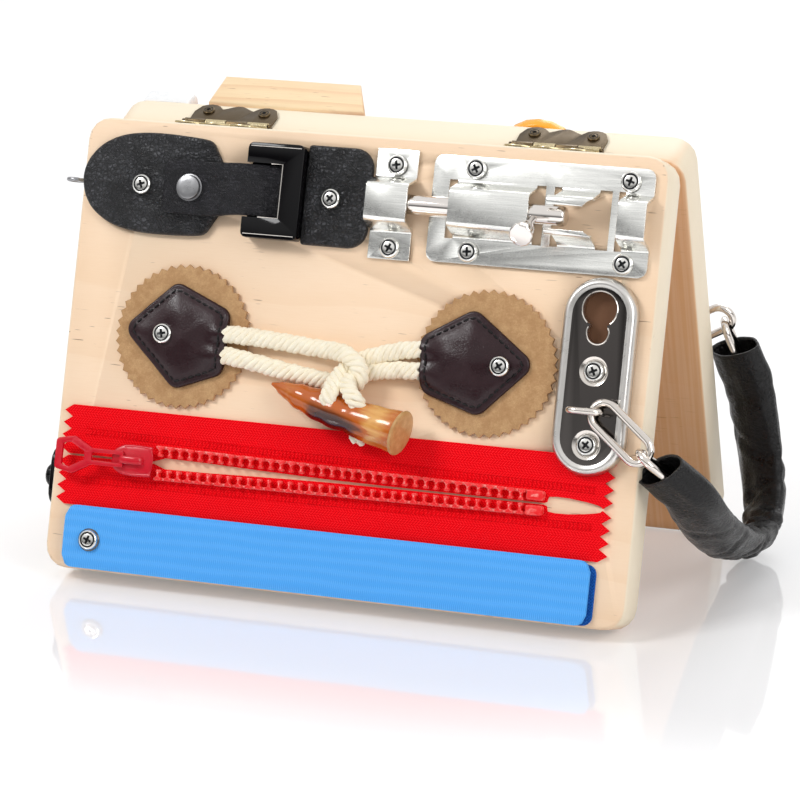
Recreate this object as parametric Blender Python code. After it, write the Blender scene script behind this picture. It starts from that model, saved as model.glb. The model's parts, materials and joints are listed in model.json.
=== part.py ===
"""A folding wooden busy board: two pine panels on butterfly hinges, opened like a tent.

The front panel carries a snap strap, a barrel bolt, a horn toggle, a zip and a hook-and-loop strap. The rear
panel carries a block, a rocker switch and a wheel. A sleeved chain ties the two keyhole plates together.
Lengths are in metres. Z is up, the front panel faces -Y, and the origin is on the floor under the hinges.
On a panel, u runs right, v runs down from the top edge, and h stands out from the face.
"""

import math

import bmesh
import bpy
from mathutils import Vector

# Panels
PANEL_WIDTH = 0.200
PANEL_HEIGHT = 0.150
PANEL_THICKNESS = 0.015
PANEL_CORNER = 0.0075
PANEL_EDGE = 0.0012
PANEL_GAP = 0.0006
TILT = math.radians(19.0)
SEAT = 0.0003
OVERRUN = 0.004

# Butterfly hinges
HINGE_CENTRE = 0.0573
HINGE_LENGTH = 0.030
BARREL_RADIUS = 0.0015
LEAF_SHEET = 0.0006
LEAF_REACH = 0.0135
LEAF_LOBE = 0.005
LEAF_VALLEY = 0.0107
LEAF_PEAK_HALF = 0.005
KNUCKLES = 4
KNUCKLE_GAP = 0.0003
KNUCKLE_CURL = math.radians(292.0)
PIN_RADIUS = 0.0007
PIN_HEAD_RADIUS = 0.0012
PIN_HEAD = 0.0005

# Wood screws
SCREW_HEAD_RADIUS = 0.0031
SCREW_HEAD = 0.0015
SCREW_SHANK_RADIUS = 0.0012
SCREW_LENGTH = 0.008
PILOT_RADIUS = 0.00150

# Snap strap: leather pads, case, strap and stud
PAD_SHEET = 0.0022
PAD_EDGE = 0.0005
LEFT_PAD_TIP = -0.0993
LEFT_PAD_SHOULDER = -0.0768
LEFT_PAD_TAPER = -0.0531
LEFT_PAD_END = -0.0479
PAD_TOP = 0.0045
PAD_BOTTOM = 0.0370
PAD_NECK = 0.0118
PAD_ROUND = 0.0055
LEFT_PAD_SCREW = -0.0788
RIGHT_PAD_LEFT = -0.0203
RIGHT_PAD_RIGHT = 0.0020
RIGHT_PAD_CORNER = 0.0065
RIGHT_PAD_SCREW = -0.0110
CASE_LEFT = -0.0401
CASE_RIGHT = -0.0206
CASE_TOP = 0.0052
CASE_BOTTOM = 0.0363
CASE_HEIGHT = 0.0058
CASE_FLOOR = 0.0009
CASE_BAR = 0.0066
CASE_CORNER = 0.0018
CASE_EDGE = 0.0006
STRAP_WIDTH = 0.0164
STRAP_MARGIN = 0.0007
STRAP_SHEET = 0.0022
STRAP_FREE_END = -0.0692
STRAP_DIVE = 0.0050
STRAP_CORNER = 0.0018
STUD_AT = -0.0604
STUD_RADIUS = 0.00415
STUD_DOME = 0.0019

# Barrel bolt
BOLT_LINE = 0.0216
SHEET = 0.0010
HAT_SHOULDER = 0.0060
HAT_FOOT = 0.0086
HAT_SHOULDER_ROUND = 0.0018
HAT_FOOT_ROUND = 0.0012
KEEPER_LEFT = 0.0028
KEEPER_RIGHT = 0.0170
KEEPER_WING = 0.0179
KEEPER_SCREW = 0.0134
BOLT_PLATE_LEFT = 0.0225
BOLT_PLATE_WING = 0.0173
BOLT_PLATE_CORNER = 0.0030
END_BAR = 0.0057
RELIEF = 0.0028
BARREL_LENGTH = 0.0265
NOTCH = 0.0030
CROSS_BAR = 0.0028
RAIL_RELIEF = 0.0026
RAIL_LENGTH = 0.0125
BELL_MOUTH = 0.0040
CLOSING_BAR = 0.0022
CLOSING_RELIEF = 0.0023
BRIDGE = 0.0091
LIP_UPPER = 0.0033
LIP_LOWER = 0.0045
MOUTH_RADIUS = 0.0062
BOLT_SCREW_IN = 0.0084
BOLT_SCREW_OUT = 0.0131
ROD_RADIUS = 0.0033
ROD_START = 0.0050
ROD_LENGTH = 0.0642
ROD_CHAMFER = 0.0012
KNOB_NECK_RADIUS = 0.0013
KNOB_CONE_START = 0.0072
KNOB_END = 0.0164
KNOB_END_RADIUS = 0.0044
KNOB_DOME = 0.0005
KNOB_SIDES = 6
KNOB_TURN = math.radians(30.0)

# Horn toggle: pinked backing, leather patches, cords and horn
BACKING_RADIUS = 0.0238
BACKING_BITE = 0.0013
BACKING_TEETH = 44
BACKING_SHEET = 0.0012
LEFT_BACKING = (-0.0582, 0.0703)
RIGHT_BACKING = (0.0466, 0.0700)
PATCH_SHEET = 0.0020
PATCH_ROUND = 0.0045
PATCH_EDGE = 0.0004
LOOP_CORD_RADIUS = 0.0022
TIE_CORD_RADIUS = 0.0019
HORN_TIP = (-0.0230, 0.0832, 0.0042)
HORN_END = (0.0230, 0.0948, 0.0096)
HORN_TIP_RADIUS = 0.0013
HORN_END_RADIUS = 0.0075
HORN_SADDLE_RADIUS = 0.0040
HORN_SADDLE_AT = 0.56
HORN_BOW = 0.0010
HORN_STATIONS = 15

# Zip
TAPE_SHEET = 0.0007
TAPE_LEFT = -0.0975
TAPE_RIGHT = 0.0925
TAPE_UPPER_TOP = 0.0959
TAPE_WIDTH = 0.0162
TAPE_GAP = 0.0006
PINK_PITCH = 0.0041
PINK_DEPTH = 0.0030
LENS_START = 0.0712
LENS_DEPTH = 0.0016
TEETH_START = -0.0630
TEETH_COUNT = 36
TOOTH_PITCH = 0.00355
TOOTH_DEPTH = 0.0025
TOOTH_WIDE = 0.0023
TOOTH_NECK = 0.0011
TOOTH_HEAD = 0.0015
TOOTH_BEAD = 0.0008
TOOTH_HEIGHT = 0.0020
STOP_LENGTH = 0.0058
STOP_WIDTH = 0.0032
ROW_SPREAD_LEFT = 0.0089
ROW_SPREAD_RIGHT = 0.0042
SLIDER_LEFT = -0.0790
SLIDER_LENGTH = 0.0175
SLIDER_WIDTH = 0.0115
SLIDER_NOSE = 0.0060
SLIDER_SHEET = 0.0014
SLIDER_LIP = 0.0009
SLIDER_POST = 0.0009
SLIDER_LUG_WIDTH = 0.0026
SLIDER_LUG_LENGTH = 0.0105
SLIDER_LUG_SHEET = 0.0009
PULL_BAR_RADIUS = 0.0006
PULL_LENGTH = 0.0235
PULL_NECK_HALF = 0.0027
PULL_HEAD_HALF = 0.0062
PULL_SHEET = 0.0013
PULL_FRAME = 0.0013

# Hook-and-loop strap
HOOK_LEFT = -0.0940
HOOK_RIGHT = 0.0904
HOOK_SHEET = 0.0012
LOOP_LEFT = -0.0945
LOOP_RIGHT = 0.0880
LOOP_ROOT_END = -0.0790
LOOP_SHEET = 0.0013
HOOK_WIDTH = 0.0196
HOOK_CLEAR = 0.0009
HOOK_CORNER_SHARE = 0.18

# Keyhole plates, staples, chain and sleeve
PLATE_CENTRE = (0.0830, 0.0710)
PLATE_HALF_WIDTH = 0.01225
PLATE_HALF_LENGTH = 0.0315
PLATE_RISE = 0.0037
PLATE_RIM = 0.0010
PLATE_SLOPE = 0.0024
PLATE_SHEET = 0.0010
KEYHOLE_RADIUS = 0.00575
KEYHOLE_FOOT_RADIUS = 0.00365
KEYHOLE_FROM_CENTRE = 0.0212
KEYHOLE_FOOT_DROP = 0.0075
DISH_RADIUS = 0.0055
DISH_FLOOR_RADIUS = 0.0035
DISH_DEPTH = 0.0013
DISH_UPPER = 0.0016
DISH_LOWER = -0.0217
STAPLE_RADIUS = 0.00115
STAPLE_SPAN = 0.0103
STAPLE_DROP = 0.0112
STAPLE_SHIFT = -0.00085
STAPLE_TOP = 0.0087
STAPLE_BEND = 0.0030
LINK_WIRE = 0.0013
LINK_TURN = 0.0043
LINK_REACH = 0.0150
FRONT_LINK_AIM = (0.774, 0.633, 0.0)
FRONT_LINK_2_AIM = (0.55, 0.45, -0.70)
REAR_LINK_AIM = (0.860, -0.510, 0.0)
REAR_LINK_2_AIM = (0.300, 0.953, -0.050)
SLEEVE_RADIUS = 0.0072
SLEEVE_WALL = 0.0008

# Side fittings of the front panel
EYE_AT = 0.0210
EYE_WIRE = 0.00055
EYE_RING = 0.0028
EYE_STAND = 0.0026
# The eye's shank fills this share of the wood between the side and the left pad's screw.
EYE_SHANK_SHARE = 20 / 53
BUTTON_AT = 0.1200
BUTTON_HALF_LENGTH = 0.0100
BUTTON_HALF_WIDTH = 0.0055
BUTTON_FLANGE = 0.0018
BUTTON_RADIUS = 0.0040
BUTTON_HEIGHT = 0.0046

# Rear panel: block, switch and wheel
BLOCK_LEFT = -0.0700
BLOCK_RIGHT = -0.0140
BLOCK_SLANT = 0.0070
BLOCK_DEPTH = 0.0170
BLOCK_HEIGHT = 0.0220
BLOCK_PROUD = 0.0008
BLOCK_EDGE = 0.0006
SWITCH_CENTRE = (-0.0860, 0.0140)
SWITCH_WIDTH = 0.0180
SWITCH_HEIGHT = 0.0270
SWITCH_DEPTH = 0.0065
SWITCH_CORNER = 0.0020
SWITCH_WELL_FLOOR = 0.0018
ROCKER_WIDTH = 0.0110
ROCKER_HALF = 0.0085
ROCKER_GAP = 0.0006
ROCKER_PROUD = 0.0019
ROCKER_DISH = 0.0009
ROCKER_KEEL = 0.0026
WHEEL_CENTRE = (0.0440, 0.0170)
WHEEL_RADIUS = 0.0145
WHEEL_STAND = 0.0050
WHEEL_WIDTH = 0.0042
WHEEL_HUB_RADIUS = 0.0045
WHEEL_BORE = 0.0024
WHEEL_WEB = 0.0016
WHEEL_RIM = 0.0028
AXLE_RADIUS = 0.0020
AXLE_DEPTH = 0.0090

# Smoothness of round shapes
ARC_STEPS = 3
EDGE_STEPS = 2
SCREW_STEPS = 8
WIRE_RESOLUTION = 2
SMOOTH_ANGLE = math.radians(40.0)

RING_HEIGHT = BARREL_RADIUS + SEAT
PANEL_DROP = RING_HEIGHT + PANEL_HEIGHT - PANEL_EDGE
AXIS_HEIGHT = (
    PANEL_DROP * math.cos(TILT) + PANEL_EDGE - (PANEL_GAP / 2 + PANEL_EDGE) * math.sin(TILT)
)
ROD_AXIS_HEIGHT = SEAT + SHEET + SEAT + ROD_RADIUS
HAT_TOP = ROD_AXIS_HEIGHT + ROD_RADIUS + SEAT + SHEET
STRAP_FACE = SEAT + HOOK_SHEET + SEAT + LOOP_SHEET
AXIS_Y = STRAP_FACE * math.cos(TILT) / 2
STRAP_TOP = TAPE_UPPER_TOP + TAPE_WIDTH * 2 + TAPE_GAP + HOOK_CLEAR
STRAP_BOTTOM = STRAP_TOP + HOOK_WIDTH

# Routes of the free cords, chosen by hand: u, v, h on the front face
LOOP_ROUTE = (
    (-0.0412, 0.0683, 0.0041), (-0.0360, 0.0684, 0.0041), (-0.0300, 0.0686, 0.0034),
    (-0.0220, 0.0692, 0.0026), (-0.0120, 0.0700, 0.0027), (-0.0060, 0.0704, 0.0040),
    (-0.0010, 0.0709, 0.0062), (0.0030, 0.0726, 0.0074), (0.0062, 0.0762, 0.0075),
    (0.0054, 0.0804, 0.0068), (0.0010, 0.0822, 0.0050), (-0.0050, 0.0810, 0.0029),
    (-0.0108, 0.0796, 0.0026), (-0.0212, 0.0782, 0.0026), (-0.0280, 0.0770, 0.0030),
    (-0.0330, 0.0762, 0.0040), (-0.0370, 0.0756, 0.0041), (-0.0413, 0.0750, 0.0041),
)
TIE_UPPER_ROUTE = (
    (0.0237, 0.0676, 0.0038), (0.0205, 0.0679, 0.0037), (0.0165, 0.0688, 0.0027),
    (0.0120, 0.0698, 0.0022), (0.0075, 0.0713, 0.0022), (0.0030, 0.0726, 0.0022),
    (-0.0010, 0.0746, 0.0027), (-0.0036, 0.0772, 0.0054), (-0.0040, 0.0804, 0.0076),
    (-0.0036, 0.0830, 0.0086),
)
TIE_LOWER_ROUTE = (
    (0.0237, 0.0744, 0.0038), (0.0205, 0.0745, 0.0037), (0.0165, 0.0748, 0.0027),
    (0.0120, 0.0754, 0.0022), (0.0080, 0.0762, 0.0022), (0.0044, 0.0770, 0.0026),
    (0.0015, 0.0774, 0.0056), (0.0012, 0.0798, 0.0096), (0.0024, 0.0828, 0.0106),
    (0.0032, 0.0846, 0.0101),
)

# Route of the sleeve in the object's own frame: x, y, z
SLEEVE_ROUTE = (
    (0.1068, -0.0472, 0.0542), (0.1110, -0.0434, 0.0491), (0.1146, -0.0391, 0.0438),
    (0.1162, -0.0305, 0.0350), (0.1168, -0.0185, 0.0262), (0.1175, -0.0035, 0.0180),
    (0.1184, 0.0115, 0.0118), (0.1190, 0.0260, 0.0084), (0.1192, 0.0370, 0.0094),
    (0.1184, 0.0450, 0.0140), (0.1168, 0.0498, 0.0207), (0.1150, 0.0522, 0.0285),
    (0.1133, 0.0530, 0.0375), (0.1117, 0.0528, 0.0465), (0.1099, 0.0521, 0.0559),
    (0.1078, 0.0503, 0.0622), (0.1059, 0.0486, 0.0682),
)


def clear_scene():
    for thing in list(bpy.data.objects):
        bpy.data.objects.remove(thing, do_unlink=True)


def material(name, colour, roughness, metallic=0.0):
    """A plain surface of one colour."""
    made = bpy.data.materials.new(name)
    made.use_nodes = True
    shader = made.node_tree.nodes["Principled BSDF"]
    shader.inputs["Base Color"].default_value = (*colour, 1.0)
    shader.inputs["Roughness"].default_value = roughness
    shader.inputs["Metallic"].default_value = metallic
    made.diffuse_color = (*colour, 1.0)
    return made


def empty(name, parent=None, location=(0, 0, 0), rotation=(0, 0, 0)):
    made = bpy.data.objects.new(name, None)
    bpy.context.scene.collection.objects.link(made)
    made.parent = parent
    made.location = location
    made.rotation_euler = rotation
    return made


def place(name, data, look, parent, location=(0, 0, 0), rotation=(0, 0, 0)):
    """An object on its parent, with the look of its material."""
    made = bpy.data.objects.new(name, data)
    bpy.context.scene.collection.objects.link(made)
    made.parent = parent
    made.location = location
    made.rotation_euler = rotation
    if look:
        data.materials.append(look)
    return made


def finished(bm, name, smooth=True, closed=True):
    """The mesh of a bmesh, facing out, with its round stretches shaded smooth."""
    if closed:
        bmesh.ops.recalc_face_normals(bm, faces=bm.faces)
    mesh = bpy.data.meshes.new(name)
    bm.to_mesh(mesh)
    bm.free()
    if smooth:
        mesh.shade_smooth()
        mesh.set_sharp_from_angle(angle=SMOOTH_ANGLE)
    return mesh


def arc(centre, radius, start, end, steps):
    """Points from one angle to another."""
    turns = [start + (end - start) * i / steps for i in range(steps + 1)]
    return [(centre[0] + radius * math.cos(a), centre[1] + radius * math.sin(a)) for a in turns]


def circle(centre, radius, steps):
    return arc(centre, radius, 0, 2 * math.pi * (steps - 1) / steps, steps - 1)


def fillet(before, corner, after, radius, steps):
    """The arc that rounds one corner."""
    to_before = (Vector(before) - Vector(corner)).normalized()
    to_after = (Vector(after) - Vector(corner)).normalized()
    half = to_before.angle(to_after) / 2
    start = Vector(corner) + to_before * (radius / math.tan(half))
    end = Vector(corner) + to_after * (radius / math.tan(half))
    centre = Vector(corner) + (to_before + to_after).normalized() * (radius / math.sin(half))
    first, last = (start - centre).normalized(), (end - centre).normalized()
    return [tuple(centre + first.slerp(last, i / steps) * radius) for i in range(steps + 1)]


def rounded(corners, closed=True, steps=ARC_STEPS):
    """The outline through (x, y, radius) corners, each rounded by an arc."""
    points = []
    count = len(corners)
    for i, (x, y, radius) in enumerate(corners):
        ends = not closed and i in (0, count - 1)
        if radius and not ends:
            before, after = corners[i - 1][:2], corners[(i + 1) % count][:2]
            points += fillet(before, (x, y), after, radius, steps)
        else:
            points.append((x, y))
    return points


def rounded_box(left, right, bottom, top, radius, steps=ARC_STEPS):
    corners = [(left, bottom, radius), (right, bottom, radius), (right, top, radius), (left, top, radius)]
    return rounded(corners, steps=steps)


def obround(half_width, half_length, steps):
    """A slot outline with round ends, upright, about the origin."""
    straight = half_length - half_width
    upper = arc((0, straight), half_width, 0, math.pi, steps)
    lower = arc((0, -straight), half_width, math.pi, 2 * math.pi, steps)
    return upper + lower


def ring(bm, outline, height):
    """A closed loop of edges at one height."""
    verts = [bm.verts.new((x, y, height)) for x, y in outline]
    for i, vert in enumerate(verts):
        bm.edges.new((verts[i - 1], vert))
    return verts


def bridge(bm, lower, upper):
    """The faces between two loops of as many points."""
    for i in range(len(lower)):
        bm.faces.new((lower[i - 1], lower[i], upper[i], upper[i - 1]))


def fill(bm, loops):
    """Faces inside the first loop and outside the others."""
    edges = []
    for verts in loops:
        edges += [bm.edges.get((verts[i - 1], verts[i])) for i in range(len(verts))]
    return bmesh.ops.triangle_fill(bm, use_beauty=True, use_dissolve=False, edges=edges)


def slab(name, outline, thickness, holes=(), edge=0.0, both_edges=False):
    """A sheet of even thickness with the outline and holes given, its rim softened by edge."""
    bm = bmesh.new()
    loops = [ring(bm, points, 0) for points in (outline, *holes)]
    fill(bm, loops)
    base = list(bm.faces)
    raised = bmesh.ops.extrude_face_region(bm, geom=base)["geom"]
    moved = [part for part in raised if isinstance(part, bmesh.types.BMVert)]
    bmesh.ops.translate(bm, verts=moved, vec=(0, 0, thickness))
    if edge:
        heights = {0.0, thickness} if both_edges else {thickness}
        soften(bm, outline, heights, edge)
    return finished(bm, name)


def soften(bm, outline, heights, edge):
    """Bevels the rim of the outline at the given heights."""
    near = edge / 10
    corners = {(round(x / near), round(y / near)) for x, y in outline}

    def on_rim(vert):
        level = any(abs(vert.co.z - height) < near for height in heights)
        return level and (round(vert.co.x / near), round(vert.co.y / near)) in corners

    rim = [
        e
        for e in bm.edges
        if all(on_rim(v) for v in e.verts)
        and abs(e.verts[0].co.z - e.verts[1].co.z) < near
        and len(e.link_faces) == 2
        and e.calc_face_angle(0) > SMOOTH_ANGLE
    ]
    bmesh.ops.bevel(bm, geom=rim, offset=edge, segments=2, profile=0.5, affect="EDGES", clamp_overlap=True)


def turned(name, profile, steps, closed=False):
    """A solid of revolution about Z from (radius, z) points."""
    bm = bmesh.new()
    verts = [bm.verts.new((radius, 0, z)) for radius, z in profile]
    edges = [bm.edges.new(pair) for pair in zip(verts, verts[1:])]
    if closed:
        edges.append(bm.edges.new((verts[-1], verts[0])))
    around = 2 * math.pi
    bmesh.ops.spin(bm, geom=verts + edges, cent=(0, 0, 0), axis=(0, 0, 1), angle=around, steps=steps, use_merge=True)
    bmesh.ops.remove_doubles(bm, verts=bm.verts, dist=SEAT / 1000)
    return finished(bm, name)


def pressed(quads, thickness):
    """The outer surface of a sheet-metal pressing, its faces welded along their edges."""
    bm = bmesh.new()
    for corners in quads:
        bm.faces.new([bm.verts.new(corner) for corner in corners])
    bmesh.ops.remove_doubles(bm, verts=bm.verts, dist=thickness / 100)
    return bm


def thicken(thing, thickness):
    """Gives a surface the thickness of its sheet, behind it."""
    sheet = thing.modifiers.new("Sheet", "SOLIDIFY")
    sheet.thickness = thickness
    sheet.offset = -1
    sheet.use_even_offset = True
    sheet.use_quality_normals = True


def guide(name, mesh, parent, location=(0, 0, 0), rotation=(0, 0, 0)):
    """A cutter, which is no part of the object."""
    made = place(name, mesh, None, parent, location, rotation)
    made.hide_render = True
    made.display_type = "WIRE"
    return made


def combine(thing, other, operation="DIFFERENCE"):
    step = thing.modifiers.new(other.name, "BOOLEAN")
    step.operation = operation
    step.object = other
    return step


def drills(name, places, radius, start, end, parent):
    """One cutter of upright pins at (x, y) places."""
    bm = bmesh.new()
    for x, y in places:
        lower = ring(bm, circle((x, y), radius, SCREW_STEPS), start)
        upper = ring(bm, circle((x, y), radius, SCREW_STEPS), end)
        bridge(bm, lower, upper)
        bm.faces.new(list(reversed(lower)))
        bm.faces.new(upper)
    return guide(name, finished(bm, name, smooth=False), parent)


def smooth_route(points, spacing):
    """Points at an even spacing along a smooth curve through the route."""
    knots = [Vector(p) for p in points]
    knots = [knots[0] * 2 - knots[1], *knots, knots[-1] * 2 - knots[-2]]
    fine = []
    for a, b, c, d in zip(knots, knots[1:], knots[2:], knots[3:]):
        for i in range(20):
            t = i / 20
            fine.append(
                ((b * 2) + (c - a) * t + (a * 2 - b * 5 + c * 4 - d) * t**2 + (b * 3 - a - c * 3 + d) * t**3) / 2
            )
    fine.append(knots[-2])
    lengths = [0.0]
    for a, b in zip(fine, fine[1:]):
        lengths.append(lengths[-1] + (b - a).length)
    count = max(2, round(lengths[-1] / spacing))
    route = []
    for i in range(count + 1):
        along = lengths[-1] * i / count
        k = next((j for j, s in enumerate(lengths) if s >= along), len(fine) - 1)
        k = max(k, 1)
        step = lengths[k] - lengths[k - 1]
        part = (along - lengths[k - 1]) / step if step else 0.0
        route.append(fine[k - 1].lerp(fine[k], part))
    return route


def wire(name, points, radius, look, parent, cyclic=False, scales=None, resolution=WIRE_RESOLUTION, caps=True):
    """A round wire or cord along the points."""
    curve = bpy.data.curves.new(name, "CURVE")
    curve.dimensions = "3D"
    curve.bevel_depth = radius
    curve.bevel_resolution = resolution
    curve.use_fill_caps = caps and not cyclic
    spline = curve.splines.new("POLY")
    spline.points.add(len(points) - 1)
    for i, point in enumerate(points):
        spline.points[i].co = (*point, 1)
        spline.points[i].radius = scales[i] if scales else 1
    spline.use_cyclic_u = cyclic
    spline.use_smooth = True
    return place(name, curve, look, parent)


def front(u, v, h=0.0):
    """A place on the front face, in its own frame."""
    return (u, -v, h)


def rear(u, v, h=0.0):
    """A place on the rear face, in its own frame."""
    return (-u, -v, h)


def screw_mesh(name, length=SCREW_LENGTH):
    """A pan-head wood screw, seated at z = 0."""
    head, shank = SCREW_HEAD_RADIUS, SCREW_SHANK_RADIUS
    profile = [
        (0, -length), (shank / 3, -length), (shank, -length + shank * 2), (shank, 0), (head, 0),
        (head * 0.97, SCREW_HEAD / 2), (head * 0.62, SCREW_HEAD * 0.92), (0, SCREW_HEAD),
    ]
    return turned(name, profile, SCREW_STEPS)


def add_screws(places, looks, parent):
    """Screws at (x, y, seat height) places on a face, their tips all at one depth."""
    for name, (x, y, seat) in places.items():
        place(name, screw_mesh(name, SCREW_LENGTH + seat), looks["steel"], parent, (x, y, seat))


def plank(name):
    """A plank with round corners and softened edges, its top edge at y = 0."""
    bm = bmesh.new()
    half = PANEL_WIDTH / 2
    turns = [math.pi / 2 * i / EDGE_STEPS for i in range(EDGE_STEPS + 1)]
    levels = [(PANEL_EDGE * (1 - math.sin(a)), PANEL_EDGE * (1 - math.cos(a))) for a in turns]
    levels += [(drawn, PANEL_THICKNESS - level) for drawn, level in reversed(levels)]
    loops = []
    for drawn, level in levels:
        outline = rounded_box(
            drawn - half, half - drawn, drawn - PANEL_HEIGHT, -drawn, PANEL_CORNER - drawn, ARC_STEPS + 1
        )
        loops.append(ring(bm, outline, level))
    for lower, upper in zip(loops, loops[1:]):
        bridge(bm, lower, upper)
    bm.faces.new(loops[0])
    bm.faces.new(loops[-1])
    return finished(bm, name)


def panel(name, look, face, pilots):
    """A pine panel with pilot holes in its face."""
    board = place(name, plank(name), look, face, (0, 0, -PANEL_THICKNESS))
    cutter = drills(name + "_pilots", pilots, PILOT_RADIUS, -SCREW_LENGTH - SEAT, OVERRUN, face)
    combine(board, cutter)
    return board


def leaf_outline(x):
    """How far a butterfly leaf reaches from its pin at x."""
    lobe_centre = HINGE_LENGTH / 2 - LEAF_LOBE
    if abs(x) < LEAF_PEAK_HALF:
        fall = (abs(x) / LEAF_PEAK_HALF) ** 1.4
        return LEAF_REACH - (LEAF_REACH - LEAF_VALLEY) * fall
    across = min(1.0, abs(abs(x) - lobe_centre) / LEAF_LOBE)
    return LEAF_REACH - LEAF_LOBE + LEAF_LOBE * math.sqrt(1 - across**2)


def leaf_columns():
    """(x at the pin, knuckle number or None for the gap to its right) along the leaf."""
    pitch = HINGE_LENGTH / KNUCKLES
    columns = []
    for k in range(KNUCKLES):
        left = -HINGE_LENGTH / 2 + pitch * k + KNUCKLE_GAP / 2
        width = pitch - KNUCKLE_GAP
        columns += [(left + width * i / 4, k if i < 4 else None) for i in range(5)]
    return columns


def curl_rows():
    """(y, z) along the knuckle's outer side, from the flat of the leaf round the pin."""
    steps = 7
    turns = [-math.pi / 2 + KNUCKLE_CURL * i / steps for i in range(steps + 1)]
    return [(BARREL_RADIUS * math.cos(a), BARREL_RADIUS * math.sin(a)) for a in turns]


def leaf_mesh(name, own):
    """A butterfly leaf rolled from one sheet, its knuckles the ones numbered in own."""
    columns = leaf_columns()
    last = len(columns) - 1
    root = -(BARREL_RADIUS + SEAT + LEAF_SHEET / 10)
    floor = -BARREL_RADIUS
    rows = curl_rows()
    quads = []
    for i in range(last):
        x0, knuckle = columns[i]
        x1 = columns[i + 1][0]
        far0 = -HINGE_LENGTH / 2 + HINGE_LENGTH * i / last
        far1 = -HINGE_LENGTH / 2 + HINGE_LENGTH * (i + 1) / last
        y0, y1 = -leaf_outline(far0), -leaf_outline(far1)
        quads.append([(far0, y0, floor), (x0, root, floor), (x1, root, floor), (far1, y1, floor)])
        if knuckle not in own:
            continue
        strip = [(root, floor), *rows]
        for (ya, za), (yb, zb) in zip(strip, strip[1:]):
            quads.append([(x0, ya, za), (x0, yb, zb), (x1, yb, zb), (x1, ya, za)])
    return finished(pressed(quads, LEAF_SHEET), name, closed=False)


def hinges(looks, front_edge, rear_edge):
    for side, centre in (("left", -HINGE_CENTRE), ("right", HINGE_CENTRE)):
        own = {1, 3}
        name = f"front_hinge_leaf_{side}"
        leaf = place(name, leaf_mesh(name, own), looks["gold"], front_edge, (centre, 0, 0))
        thicken(leaf, LEAF_SHEET)
        # The rear leaf is turned round, so its knuckles are counted from the other end.
        own = {KNUCKLES - 1 - k for k in range(KNUCKLES) if k not in own}
        name = f"rear_hinge_leaf_{side}"
        leaf = place(name, leaf_mesh(name, own), looks["bronze"], rear_edge, (-centre, 0, 0))
        thicken(leaf, LEAF_SHEET)
        end = HINGE_LENGTH / 2 + SEAT
        head = end + PIN_HEAD
        profile = [
            (0, -head), (PIN_HEAD_RADIUS, -head), (PIN_HEAD_RADIUS, -end), (PIN_RADIUS, -end),
            (PIN_RADIUS, end), (PIN_HEAD_RADIUS, end), (PIN_HEAD_RADIUS, head), (0, head),
        ]
        name = f"hinge_pin_{side}"
        turn = (0, math.pi / 2, 0)
        place(name, turned(name, profile, SCREW_STEPS), looks["bronze"], front_edge, (centre, 0, 0), turn)


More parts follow.
